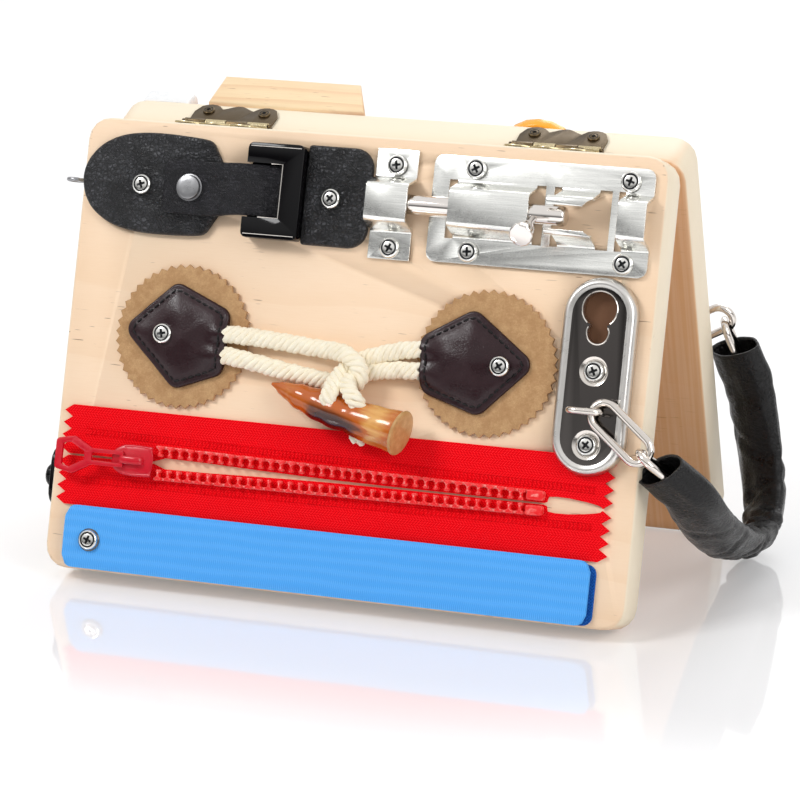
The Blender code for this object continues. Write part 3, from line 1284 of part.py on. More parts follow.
def rocker_switch(looks, face):
    """A small switch: a housing with a well, and the rocker that tips in it."""
    x, y, _ = rear(*SWITCH_CENTRE)
    half_w, half_h = SWITCH_WIDTH / 2, SWITCH_HEIGHT / 2
    outline = rounded_box(-half_w, half_w, -half_h, half_h, SWITCH_CORNER)
    mesh = slab("switch_housing", outline, SWITCH_DEPTH, edge=SWITCH_CORNER / 4)
    made = place("switch_housing", mesh, looks["white"], face, (x, y, SEAT))
    well_w, well_h = ROCKER_WIDTH / 2 + ROCKER_GAP, ROCKER_HALF + ROCKER_GAP * 1.5
    well = rounded_box(-well_w, well_w, -well_h, well_h, SWITCH_CORNER / 4)
    mesh = slab("switch_well", well, SWITCH_DEPTH + OVERRUN)
    combine(made, guide("switch_well", mesh, face, (x, y, SEAT + SWITCH_WELL_FLOOR)))
    tip = empty("switch_tip", face, (x, y, SEAT + SWITCH_DEPTH))
    outline = rounded([
        (-ROCKER_HALF, ROCKER_PROUD, ROCKER_DISH / 2), (-ROCKER_HALF * 0.86, -ROCKER_PROUD * 0.8, 0),
        (0, -ROCKER_KEEL, ROCKER_KEEL), (ROCKER_HALF * 0.86, -ROCKER_PROUD * 0.8, 0),
        (ROCKER_HALF, ROCKER_PROUD, ROCKER_DISH / 2), (0, ROCKER_PROUD - ROCKER_DISH, ROCKER_HALF),
    ])
    mesh = slab("switch_rocker", outline, ROCKER_WIDTH)
    # The section lies in the rocker's Y and Z, and its width along X.
    turn = (math.pi / 2, 0, math.pi / 2)
    place("switch_rocker", mesh, looks["white"], tip, (-ROCKER_WIDTH / 2, 0, 0), turn)


def wheel(looks, face, board):
    """A coloured wheel with a hub and a dished web, turning on a shouldered screw."""
    x, y, _ = rear(*WHEEL_CENTRE)
    low, high = WHEEL_STAND, WHEEL_STAND + WHEEL_WIDTH
    web_low = (low + high - WHEEL_WEB) / 2
    web_high = web_low + WHEEL_WEB
    rim = WHEEL_RADIUS - WHEEL_RIM
    soft = WHEEL_WEB / 4
    profile = [
        (WHEEL_BORE, SEAT), (WHEEL_HUB_RADIUS, SEAT), (WHEEL_HUB_RADIUS, web_low), (rim, web_low), (rim, low),
        (WHEEL_RADIUS - soft, low), (WHEEL_RADIUS, low + soft), (WHEEL_RADIUS, high - soft),
        (WHEEL_RADIUS - soft, high), (rim, high), (rim, web_high), (WHEEL_HUB_RADIUS, web_high),
        (WHEEL_HUB_RADIUS, high), (WHEEL_BORE, high),
    ]
    spin = empty("wheel_spin", face, (x, y, 0))
    place("wheel", turned("wheel", profile, 20, closed=True), looks["orange"], spin)
    seat = high + SEAT
    head = SCREW_HEAD_RADIUS + SEAT
    profile = [
        (0, -AXLE_DEPTH), (AXLE_RADIUS, -AXLE_DEPTH + AXLE_RADIUS / 2), (AXLE_RADIUS, seat), (head, seat),
        (head, seat + SCREW_HEAD / 2), (head * 0.6, seat + SCREW_HEAD), (0, seat + SCREW_HEAD),
    ]
    place("wheel_screw", turned("wheel_screw", profile, 12), looks["steel"], face, (x, y, 0))
    cutter = drills("wheel_pilot", [(x, y)], AXLE_RADIUS + SEAT, -AXLE_DEPTH - SEAT, OVERRUN, face)
    combine(board, cutter)


def sleeve(looks, root):
    """The soft sleeve over the chain: an open tube, hanging from plate to plate."""
    route = smooth_route(SLEEVE_ROUTE, SLEEVE_RADIUS)
    made = wire("chain_sleeve", route, SLEEVE_RADIUS, looks["sleeve"], root, caps=False)
    thicken(made, SLEEVE_WALL)


def make_looks():
    return {
        "pine": material("pine", (0.95, 0.74, 0.50), 0.55),
        "block": material("block_wood", (0.91, 0.61, 0.35), 0.6),
        "steel": material("brushed_steel", (0.55, 0.56, 0.54), 0.35, 1.0),
        "chrome": material("chrome", (0.80, 0.78, 0.76), 0.08, 1.0),
        "nickel": material("nickel", (0.66, 0.63, 0.58), 0.18, 1.0),
        "black_nickel": material("black_nickel", (0.10, 0.10, 0.10), 0.12, 1.0),
        "gunmetal": material("gunmetal", (0.30, 0.31, 0.33), 0.25, 1.0),
        "gold": material("gold_plate", (0.55, 0.42, 0.20), 0.3, 1.0),
        "bronze": material("bronze", (0.14, 0.10, 0.06), 0.35, 1.0),
        "leather": material("black_leather", (0.025, 0.025, 0.03), 0.55),
        "gloss": material("gloss_black", (0.006, 0.006, 0.008), 0.12),
        "suede": material("tan_suede", (0.48, 0.26, 0.12), 0.9),
        "brown": material("brown_leather", (0.05, 0.02, 0.025), 0.4),
        "rope": material("cream_rope", (0.87, 0.79, 0.60), 0.9),
        "horn": material("amber_horn", (0.38, 0.10, 0.01), 0.2),
        "red_tape": material("red_tape", (0.70, 0.01, 0.02), 0.8),
        "red_teeth": material("red_teeth", (0.80, 0.03, 0.04), 0.35),
        "red_gloss": material("red_gloss", (0.60, 0.01, 0.03), 0.3),
        "light_blue": material("light_blue", (0.09, 0.36, 0.82), 0.85),
        "dark_blue": material("dark_blue", (0.01, 0.11, 0.36), 0.85),
        "sleeve": material("sleeve_black", (0.03, 0.028, 0.03), 0.35),
        "white": material("white_plastic", (0.85, 0.85, 0.83), 0.3),
        "orange": material("orange_plastic", (0.95, 0.45, 0.03), 0.35),
    }


def front_panel(looks, face):
    """The front panel with all that it carries."""
    middle = -(PAD_TOP + PAD_BOTTOM) / 2
    keeper_places = keeper(looks, face)
    bolt_places = bolt_plate(looks, face)
    bolt(looks, face)
    pad = SEAT + PAD_SHEET + SEAT
    sheet = SEAT + SHEET + SEAT
    dish = TAPE_SHEET + SEAT + PLATE_RISE - DISH_DEPTH + SEAT
    screws = {
        "left_pad_screw": (LEFT_PAD_SCREW, middle, pad),
        "right_pad_screw": (RIGHT_PAD_SCREW, middle, pad),
    }
    for i, (x, y) in enumerate(keeper_places, 1):
        screws[f"keeper_screw_{i}"] = (x, y, sheet)
    for i, (x, y) in enumerate(bolt_places, 1):
        screws[f"bolt_plate_screw_{i}"] = (x, y, sheet)
    for i, y in enumerate((DISH_UPPER, DISH_LOWER), 1):
        screws[f"chain_plate_screw_{i}"] = (PLATE_CENTRE[0], y - PLATE_CENTRE[1], dish)
    board = panel("front_board", looks["pine"], face, [(x, y) for x, y, _ in screws.values()])
    add_screws(screws, looks, face)
    snap_strap(looks, face)
    toggle(looks, face)
    zip_fastener(looks, face)
    hook_strap(looks, face)
    chain_end(looks, face, 1, (FRONT_LINK_AIM, FRONT_LINK_2_AIM), TAPE_SHEET + SEAT)
    side_fittings(looks, face, board)


def rear_panel(looks, face):
    """The rear panel with all that it carries."""
    pilots = [rear(PLATE_CENTRE[0], PLATE_CENTRE[1] - y)[:2] for y in (DISH_UPPER, DISH_LOWER)]
    board = panel("rear_board", looks["pine"], face, pilots)
    wood_block(looks, face)
    rocker_switch(looks, face)
    wheel(looks, face, board)
    chain_end(looks, face, -1, (REAR_LINK_AIM, REAR_LINK_2_AIM), 0)


def main():
    clear_scene()
    looks = make_looks()
    root = empty("busy_board")
    axis = empty("fold_axis", root, (0, AXIS_Y, AXIS_HEIGHT))
    front_edge = empty("front_top_edge", axis, rotation=(-TILT, 0, 0))
    rear_edge = empty("rear_top_edge", axis, rotation=(-TILT, 0, math.pi))
    out = PANEL_GAP / 2 + PANEL_THICKNESS
    upright = (math.pi / 2, 0, 0)
    front_face = empty("front_face", front_edge, (0, -out, -RING_HEIGHT), upright)
    rear_face = empty("rear_face", rear_edge, (0, -out, -RING_HEIGHT), upright)
    hinges(looks, front_edge, rear_edge)
    front_panel(looks, front_face)
    rear_panel(looks, rear_face)
    sleeve(looks, root)
    bpy.context.view_layer.update()


main()
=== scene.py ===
"""Looks of the folding busy board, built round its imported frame.

Each sub-assembly is a class that builds its meshes on a panel's face and dresses them. Meshes are drawn in
millimetres on the face: x runs right, y runs up from the top edge, and z stands out of the wood.
"""

import functools
import json
import logging
import math
import random
from dataclasses import dataclass
from enum import Enum
from typing import Callable, Iterable, Sequence, Union

import bmesh
import bpy
from mathutils import Matrix, Vector, geometry, noise


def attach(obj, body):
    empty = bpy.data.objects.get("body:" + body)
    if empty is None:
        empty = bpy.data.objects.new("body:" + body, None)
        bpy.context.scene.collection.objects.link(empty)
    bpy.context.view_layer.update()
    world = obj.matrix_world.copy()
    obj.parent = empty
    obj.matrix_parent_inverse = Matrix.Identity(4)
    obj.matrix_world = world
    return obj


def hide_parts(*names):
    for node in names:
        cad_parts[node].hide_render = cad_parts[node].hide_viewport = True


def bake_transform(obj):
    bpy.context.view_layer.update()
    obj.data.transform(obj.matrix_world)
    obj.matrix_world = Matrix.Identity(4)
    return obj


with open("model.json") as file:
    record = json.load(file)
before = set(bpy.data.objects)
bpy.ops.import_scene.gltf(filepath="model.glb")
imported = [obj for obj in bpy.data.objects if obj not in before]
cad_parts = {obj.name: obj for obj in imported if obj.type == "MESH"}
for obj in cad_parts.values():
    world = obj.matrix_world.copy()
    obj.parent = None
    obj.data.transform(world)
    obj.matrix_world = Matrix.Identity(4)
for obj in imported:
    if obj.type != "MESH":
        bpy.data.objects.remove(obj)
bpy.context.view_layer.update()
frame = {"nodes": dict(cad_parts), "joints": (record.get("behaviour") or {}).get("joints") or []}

log = logging.getLogger("busy_board")

MM = 0.001
TILT = math.radians(19.0)
PANEL_OUT = 0.0153
RING = 0.0018
PER_METRE = 1000.0
NEAR_ZERO = 0.01
HEART_DEPTH = 160.0
BRUSHED_SHADE = 0.7

Colour = tuple[float, float, float]
Place = tuple[float, float, float]
Flat = tuple[float, float]
Socket = bpy.types.NodeSocket
Feed = Union[float, Colour, Socket]


def tone(red: int, green: int, blue: int) -> Colour:
    """The linear colour of an 8-bit display colour.

    Args:
        red: Red, 0 to 255.
        green: Green, 0 to 255.
        blue: Blue, 0 to 255.

    Returns:
        The linear red, green and blue.
    """

    def channel(value: int) -> float:
        """One channel, made linear."""
        share = value / 255
        return share / 12.92 if share <= 0.04045 else ((share + 0.055) / 1.055) ** 2.4

    return channel(red), channel(green), channel(blue)


def fold_point() -> Vector:
    """The point on the hinge line that both panels turn about."""
    joint = next(j for j in frame["joints"] if j["name"] == "board_fold")
    return Vector(joint["pos_m"])


class Body(Enum):
    """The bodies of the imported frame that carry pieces."""

    FRONT = "front_panel"
    REAR = "rear_panel"
    ROD = "bolt_rod"
    SLIDER = "zip_slider"
    LOOP = "loop_strap"
    SNAP = "snap_strap"
    HORN = "horn"


class Side(Enum):
    """The outer faces of the two panels, by their turn about the upright axis."""

    FRONT = 0.0
    REAR = math.pi

    @property
    def body(self) -> Body:
        """The body that carries the face."""
        return Body[self.name]

    @property
    def matrix(self) -> Matrix:
        """The face's frame: x along the hinge line, y up the face, z out of the wood."""
        turn = Matrix.Rotation(self.value, 4, "Z") @ Matrix.Rotation(-TILT, 4, "X")
        drop = Matrix.Translation((0, -PANEL_OUT, -RING)) @ Matrix.Rotation(math.pi / 2, 4, "X")
        return Matrix.Translation(fold_point()) @ turn @ drop


@dataclass
class Shape:
    """Points in millimetres and the faces over them."""

    points: list[Vector]
    faces: list[tuple[int, ...]]

    def join(self, other: "Shape") -> "Shape":
        """Takes in another shape.

        Args:
            other: The shape to add.

        Returns:
            This shape.
        """
        start = len(self.points)
        self.points += other.points
        self.faces += [tuple(i + start for i in face) for face in other.faces]
        return self

    def moved(self, matrix: Matrix) -> "Shape":
        """A copy of this shape, moved by the matrix."""
        return Shape([matrix @ p for p in self.points], list(self.faces))

    def shifted(self, x: float, y: float, z: float = 0.0) -> "Shape":
        """A copy of this shape, shifted."""
        return self.moved(Matrix.Translation((x, y, z)))

    def warped(self, bend: Callable[[Vector], Vector]) -> "Shape":
        """A copy of this shape with each point put where bend says."""
        return Shape([bend(p) for p in self.points], list(self.faces))

    def mesh(self, name: str, sharp: float = 35.0) -> bpy.types.Mesh:
        """The Blender mesh, facing out, smooth except at its sharp edges.

        Args:
            name: The mesh's name.
            sharp: Edges that turn by more than this many degrees stay sharp.

        Returns:
            The mesh, in metres.
        """
        bm = bmesh.new()
        verts = [bm.verts.new(p * MM) for p in self.points]
        for face in self.faces:
            if len(set(face)) > 2:
                bm.faces.new([verts[i] for i in dict.fromkeys(face)])
        bmesh.ops.remove_doubles(bm, verts=bm.verts, dist=1e-7)
        bmesh.ops.recalc_face_normals(bm, faces=bm.faces)
        mesh = bpy.data.meshes.new(name)
        bm.to_mesh(mesh)
        bm.free()
        mesh.shade_smooth()
        mesh.set_sharp_from_angle(angle=math.radians(sharp))
        return mesh


def lofted(rings: Sequence[Sequence[Vector]], caps: bool = True) -> Shape:
    """The skin over closed rings of as many points each.

    Args:
        rings: The rings in order.
        caps: Whether the first and the last ring are filled.

    Returns:
        The shape.
    """
    count = len(rings[0])
    points = [Vector(p) for ring in rings for p in ring]
    faces: list[tuple[int, ...]] = []
    for low in range(0, len(points) - count, count):
        for i in range(count):
            j = (i + 1) % count
            faces.append((low + i, low + j, low + count + j, low + count + i))
    if caps:
        faces += [tuple(reversed(range(count))), tuple(range(len(points) - count, len(points)))]
    return Shape(points, faces)


def lathed(profile: Sequence[Flat], steps: int) -> Shape:
    """A body of revolution about z.

    Args:
        profile: (radius, height) points from one end of the axis to the other.
        steps: The number of flats round it.

    Returns:
        The shape.
    """
    return lofted([[Vector((x, y, height)) for x, y in disc(radius, steps)] for radius, height in profile])


def frames(path: Sequence[Vector], closed: bool = False) -> list[tuple[Vector, Vector]]:
    """Two directions across the path at each point, turning as little as they can.

    Args:
        path: The points.
        closed: Whether the path runs back to its first point.

    Returns:
        The two directions at each point.
    """
    count = len(path)
    tangents = []
    for i in range(count):
        if closed:
            step = path[(i + 1) % count] - path[i - 1]
        else:
            step = path[min(i + 1, count - 1)] - path[max(i - 1, 0)]
        tangents.append(step.normalized())
    across = tangents[0].orthogonal().normalized()
    found = []
    for i, tangent in enumerate(tangents):
        if i:
            across = tangents[i - 1].rotation_difference(tangent) @ across
        across = (across - tangent * across.dot(tangent)).normalized()
        found.append((across, tangent.cross(across)))
    if closed:
        last = tangents[-1].rotation_difference(tangents[0]) @ found[-1][0]
        first, second = found[0]
        slip = math.atan2(last.dot(second), last.dot(first))
        for i in range(count):
            back = Matrix.Rotation(-slip * i / count, 3, tangents[i])
            found[i] = (back @ found[i][0], back @ found[i][1])
    return found


def swept(
    path: Sequence[Vector],
    section: Callable[[int, float], Sequence[Flat]],
    closed: bool = False,
    caps: bool = True,
    side: Vector | None = None,
) -> Shape:
    """A section carried along a path.

    Args:
        path: The centre line.
        section: Gives the section's (a, b) points from the number of the path point and its share of the path.
        closed: Whether the path runs back to its first point.
        caps: Whether the ends are filled.
        side: The direction that a keeps to, where the section must not turn.

    Returns:
        The shape.
    """
    rings = []
    last = len(path) - 1
    for i, (first, second) in enumerate(frames(path, closed)):
        if side is not None:
            along = second.cross(first).normalized()
            first = (side - along * side.dot(along)).normalized()
            second = along.cross(first)
        rings.append([path[i] + first * a + second * b for a, b in section(i, i / last)])
    if closed:
        rings.append(rings[0])
    return lofted(rings, caps and not closed)


def disc(radius: float, sides: int, squash: float = 1.0) -> list[Flat]:
    """A round or oval section."""
    turns = [2 * math.pi * i / sides for i in range(sides)]
    return [(radius * math.cos(a), radius * squash * math.sin(a)) for a in turns]


def wire(path: Sequence[Sequence[float]], radius: float, sides: int = 16, closed: bool = False) -> Shape:
    """A round wire of even thickness along the path."""
    return swept([Vector(p) for p in path], lambda *_: disc(radius, sides), closed)


def smooth_route(knots: Iterable[Sequence[float]], spacing: float, closed: bool = False) -> list[Vector]:
    """Evenly spaced points on a smooth curve through the knots.

    Args:
        knots: The points to pass.
        spacing: The distance between the points that come back.
        closed: Whether the curve runs back to its first knot.

    Returns:
        The points.
    """
    given = [Vector(k) for k in knots]
    if closed:
        given = [given[-1], *given, given[0], given[1]]
    else:
        given = [given[0] * 2 - given[1], *given, given[-1] * 2 - given[-2]]
    fine: list[Vector] = []
    for a, b, c, d in zip(given, given[1:], given[2:], given[3:]):
        for i in range(16):
            t = i / 16
            bow = b * 2 + (c - a) * t + (a * 2 - b * 5 + c * 4 - d) * t**2 + (b * 3 - a - c * 3 + d) * t**3
            fine.append(bow / 2)
    fine.append(given[-2].copy())
    reach = [0.0]
    for a, b in zip(fine, fine[1:]):
        reach.append(reach[-1] + (b - a).length)
    count = max(3, round(reach[-1] / spacing))
    route = []
    k = 1
    for i in range(count if closed else count + 1):
        along = reach[-1] * i / count
        while k < len(fine) - 1 and reach[k] < along:
            k += 1
        step = reach[k] - reach[k - 1]
        route.append(fine[k - 1].lerp(fine[k], min(1.0, (along - reach[k - 1]) / step) if step else 0.0))
    return route


def rounded(corners: Sequence[Sequence[float]], steps: int = 6) -> list[Flat]:
    """The outline through (x, y, radius) corners, each rounded by an arc.

    Args:
        corners: The corners in order.
        steps: The number of flats in each arc.

    Returns:
        The outline's points.
    """
    points: list[Flat] = []
    count = len(corners)
    for i, (x, y, radius) in enumerate(corners):
        if not radius:
            points.append((x, y))
            continue
        corner = Vector((x, y))
        before = (Vector(corners[i - 1][:2]) - corner).normalized()
        after = (Vector(corners[(i + 1) % count][:2]) - corner).normalized()
        half = before.angle(after) / 2
        start, stop = corner + before * (radius / math.tan(half)), corner + after * (radius / math.tan(half))
        centre = corner + (before + after).normalized() * (radius / math.sin(half))
        first, last = (start - centre).normalized(), (stop - centre).normalized()
        points += [tuple(centre + first.slerp(last, k / steps) * radius) for k in range(steps + 1)]
    return points


def rounded_box(left: float, low: float, right: float, high: float, radii: Sequence[float], steps: int) -> list[Flat]:
    """A rectangle with rounded corners.

    Args:
        left: Its left side.
        low: Its lower side.
        right: Its right side.
        high: Its upper side.
        radii: The corners' radii, counter-clockwise from the lower left one.
        steps: The number of flats in each corner.

    Returns:
        The outline's points.
    """
    corners = ((left, low), (right, low), (right, high), (left, high))
    return rounded([(x, y, radius) for (x, y), radius in zip(corners, radii)], steps)


def inset(outline: Sequence[Flat], distance: float) -> list[Flat]:
    """A counter-clockwise outline drawn in by a distance.

    Args:
        outline: The outline's points.
        distance: How far each side moves in; below zero it moves out.

    Returns:
        As many points, drawn in.
    """
    drawn = []
    count = len(outline)
    for i in range(count):
        here = Vector(outline[i])
        before = (here - Vector(outline[i - 1])).normalized()
        after = (Vector(outline[(i + 1) % count]) - here).normalized()
        inward = Vector((-(before.y + after.y), before.x + after.x))
        if inward.length < 1e-6:
            inward = Vector((-before.y, before.x))
        inward.normalize()
        stretch = max(0.5, inward.dot(Vector((-before.y, before.x))))
        drawn.append(tuple(here + inward * (distance / stretch)))
    return drawn


def padded_slab(
    outline: Sequence[Flat], low: float, high: float, edge: float, crown: float = 0.0, rings: int = 5
) -> Shape:
    """A sheet with a rounded rim and a slightly domed top.

    Args:
        outline: The counter-clockwise outline.
        low: The height of its underside.
        high: The height of its rim's top.
        edge: The radius of the rim.
        crown: How much higher its middle stands than its rim.
        rings: The number of rings between the rim and the middle.

    Returns:
        The shape.
    """
    drawn = [[(x, y, low) for x, y in inset(outline, edge * 0.3)], [(x, y, low + edge * 0.3) for x, y in outline]]
    for k in range(5):
        turn = math.pi / 2 * k / 4
        level = high - edge + edge * math.sin(turn)
        drawn.append([(x, y, level) for x, y in inset(outline, edge * (1 - math.cos(turn)))])
    rim = inset(outline, edge)
    middle = Vector((sum(x for x, _ in rim) / len(rim), sum(y for _, y in rim) / len(rim)))
    for k in range(1, rings + 1):
        share = 1 - k / (rings + 0.001)
        level = high + crown * (1 - share**2)
        drawn.append([(*(middle + (Vector(p) - middle) * share), level) for p in rim])
    return lofted([[Vector(p) for p in ring] for ring in drawn])


def eased(share: float) -> float:
    """A share from 0 to 1 with a soft start and end."""
    return share * share * (3 - 2 * share)


def bell(distance: float, width: float) -> float:
    """A soft hump: 1 at no distance, falling off over the width."""
    return math.exp(-((distance / width) ** 2))


def round_cornered(half: float, away: float, radius: float) -> float:
    """The half width of a band with rounded corners, some way in from its end."""
    near = min(away, radius)
    return half - radius + math.sqrt(max(0.0, radius**2 - (radius - near) ** 2))


def line_length(points: Sequence[Vector]) -> float:
    """The length of a line through the points."""
    return sum((b - a).length for a, b in zip(points, points[1:]))


def placed(name: str, data: bpy.types.ID) -> bpy.types.Object:
    """A new object in the scene.

    Args:
        name: Its name.
        data: Its mesh, camera or lamp.

    Returns:
        The object.
    """
    made = bpy.data.objects.new(name, data)
    bpy.context.scene.collection.objects.link(made)
    return made


def along_table(table: Sequence[Flat], share: float) -> float:
    """The value at a share, eased between the (share, value) pairs of a table."""
    for (low, start), (high, end) in zip(table, table[1:]):
        if share <= high:
            part = (share - low) / (high - low)
            return start + (end - start) * eased(part)
    return table[-1][1]


def divided(outline: Sequence[Flat], step: float) -> list[Flat]:
    """A closed outline with points added on its long sides, every corner kept."""
    points: list[Flat] = []
    for (x, y), (to_x, to_y) in zip(outline, [*outline[1:], outline[0]]):
        count = max(1, round(math.hypot(to_x - x, to_y - y) / step))
        points += [(x + (to_x - x) * i / count, y + (to_y - y) * i / count) for i in range(count)]
    return points


def stitches(path: Sequence[Vector], pitch: float, length: float, radius: float) -> Shape:
    """A row of thread stitches that dip at their ends.

    Args:
        path: The seam's line, just above the surface.
        pitch: The distance from one stitch to the next.
        length: How much thread shows.
        radius: The thread's radius.

    Returns:
        All the stitches as one shape.
    """
    row = Shape([], [])
    points = smooth_route(path, pitch)
    for here, after in zip(points, points[1:]):
        along = (after - here).normalized()
        start, stop = here, here + along * length
        line = [start.lerp(stop, k / 4) for k in range(5)]
        for k, point in enumerate(line):
            point.z += radius * (math.sin(math.pi * k / 4) * 1.1 - 0.75)
        row.join(wire(line, radius, 6))
    return row


class Bench:
    """Adds nodes to one node tree with few words for each."""

    def __init__(self, tree: bpy.types.NodeTree) -> None:
        """Starts on a tree.

        Args:
            tree: The tree to add nodes to.
        """
        self.tree = tree
        self.shader = tree.nodes.get("Principled BSDF")

    def give(self, key: str, value: Feed) -> None:
        """Feeds one input of the tree's Principled shader."""
        self.feed(self.shader.inputs[key], value)

    def feed(self, socket: Socket, value: Feed) -> None:
        """Links or sets one input.

        Args:
            socket: The input.
            value: An output to link, a number, a vector or a colour.
        """
        if isinstance(value, bpy.types.NodeSocket):
            self.tree.links.new(value, socket)
        elif socket.type == "RGBA":
            socket.default_value = (*value[:3], 1.0)
        else:
            socket.default_value = value

    def node(self, kind: str, inputs: dict[str | int, Feed] | None = None, **settings: object) -> bpy.types.Node:
        """A new node with its settings and inputs.

        Args:
            kind: The node's type, without its ShaderNode prefix.
            inputs: What feeds each input, by name or number.
            settings: The node's own properties.

        Returns:
            The node.
        """
        made = self.tree.nodes.new("ShaderNode" + kind)
        for key, value in settings.items():
            setattr(made, key, value)
        for key, value in (inputs or {}).items():
            self.feed(made.inputs[key], value)
        return made

    def math(self, operation: str, a: Feed, b: Feed = 0.0, clamp: bool = False) -> Socket:
        """The result of one sum."""
        return self.node("Math", {0: a, 1: b}, operation=operation, use_clamp=clamp).outputs[0]

    def plus(self, a: Feed, b: Feed, clamp: bool = False) -> Socket:
        """The sum of two values."""
        return self.math("ADD", a, b, clamp)

    def less(self, a: Feed, b: Feed) -> Socket:
        """The first value less the second."""
        return self.math("SUBTRACT", a, b)

    def times(self, a: Feed, b: Feed, clamp: bool = False) -> Socket:
        """The product of two values."""
        return self.math("MULTIPLY", a, b, clamp)

    def axes(self, vector: Feed) -> bpy.types.bpy_prop_collection:
        """The vector's x, y and z."""
        return self.node("SeparateXYZ", {0: vector}).outputs

    def facing(self) -> bpy.types.bpy_prop_collection:
        """The x, y and z of the direction that the surface faces."""
        return self.axes(self.node("NewGeometry").outputs["Normal"])

    def resized(self, vector: Feed, amount: Feed) -> Socket:
        """The vector times a number."""
        return self.node("VectorMath", {0: vector, "Scale": amount}, operation="SCALE").outputs[0]

    def near(self, place: Feed) -> Socket:
        """The place in millimetres."""
        return self.resized(place, PER_METRE)

    def spread(self, value: Feed, low: float, high: float, to_low: float = 0.0, to_high: float = 1.0) -> Socket:
        """The value's place between two limits, eased at both."""
        limits = {0: value, 1: low, 2: high, 3: to_low, 4: to_high}
        return self.node("MapRange", limits, interpolation_type="SMOOTHSTEP").outputs[0]

    def blend(self, share: Feed, first: Feed, second: Feed, kind: str = "MIX") -> Socket:
        """One colour laid over another by share."""
        made = self.node("Mix", None, data_type="RGBA", blend_type=kind)
        for number, value in ((0, share), (6, first), (7, second)):
            self.feed(made.inputs[number], value)
        return made.outputs[2]

    def noise(self, vector: Feed, scale: float, detail: float = 3.0, rough: float = 0.5, bend: float = 0.0) -> Socket:
        """Cloudy noise, about 0 to 1."""
        inputs = {"Vector": vector, "Scale": scale, "Detail": detail, "Roughness": rough, "Distortion": bend}
        return self.node("TexNoise", inputs).outputs[0]

    def grain(
        self, vector: Feed, scale: Place, detail: float, rough: float = 0.5, bend: float = 0.0,
        turn: Place = (0, 0, 0),
    ) -> Socket:
        """Noise that is stretched and turned.

        Args:
            vector: The place.
            scale: The noise's scale along each axis.
            detail: How many finer layers it has.
            rough: How strong they are.
            bend: How far it is distorted.
            turn: The turn before the stretch.

        Returns:
            The noise, about 0 to 1.
        """
        return self.noise(self.scaled(vector, scale, turn), 1.0, detail, rough, bend)

    def cells(self, vector: Feed, scale: float, feature: str = "DISTANCE_TO_EDGE", loose: float = 1.0) -> Socket:
        """The distance field of scattered cells."""
        inputs = {"Vector": vector, "Scale": scale, "Randomness": loose}
        return self.node("TexVoronoi", inputs, feature=feature).outputs["Distance"]

    def scaled(self, vector: Feed, scale: Place, turn: Place = (0, 0, 0)) -> Socket:
        """The vector turned and stretched."""
        inputs = {"Vector": vector, "Rotation": turn, "Scale": scale}
        return self.node("Mapping", inputs).outputs[0]

    def bump(self, height: Feed, depth: float, strength: float = 1.0, normal: Socket | None = None) -> Socket:
        """The normal over a height field, depth in millimetres."""
        made = self.node("Bump", {"Height": height, "Distance": depth * MM, "Strength": strength})
        if normal is not None:
            self.feed(made.inputs["Normal"], normal)
        return made.outputs[0]

    def use(self, effect: bpy.types.NodeTree, **inputs: Feed) -> dict[str, Socket]:
        """Places a shared effect.

        Args:
            effect: The node group.
            inputs: What feeds it, with _ for each space in a name.

        Returns:
            Its outputs by name.
        """
        made = self.tree.nodes.new("ShaderNodeGroup")
        made.node_tree = effect
        for key, value in inputs.items():
            self.feed(made.inputs[key.replace("_", " ")], value)
        return {output.name: output for output in made.outputs}


EffectBody = Callable[[Bench, Socket, dict[str, Socket]], dict[str, Socket]]
Effect = Callable[[], bpy.types.NodeTree]


def effect(**defaults: float) -> Callable[[EffectBody], Effect]:
    """Turns a function that draws nodes into one that gives them as a shared node group.

    Args:
        defaults: The group's numbers, with _ for each space in a name.

    Returns:
        The decorator. Its function gets a bench, the place in millimetres and the group's inputs.
    """

    def wrap(body: EffectBody) -> Effect:
        """Wraps one function."""

        @functools.cache
        def group() -> bpy.types.NodeTree:
            """The group, built once."""
            tree = bpy.data.node_groups.new(body.__name__, "ShaderNodeTree")
            tree.interface.new_socket(name="Vector", in_out="INPUT", socket_type="NodeSocketVector")
            for key, default in defaults.items():
                name = key.replace("_", " ")
                socket = tree.interface.new_socket(name=name, in_out="INPUT", socket_type="NodeSocketFloat")
                socket.default_value = default
            bench = Bench(tree)
            start = tree.nodes.new("NodeGroupInput")
            stop = tree.nodes.new("NodeGroupOutput")
            given = {socket.name: socket for socket in start.outputs if socket.name}
            for key, value in body(bench, bench.near(given["Vector"]), given).items():
                tree.interface.new_socket(name=key, in_out="OUTPUT", socket_type="NodeSocketFloat")
                bench.feed(stop.inputs[key], value)
            return tree

        return group

    return wrap


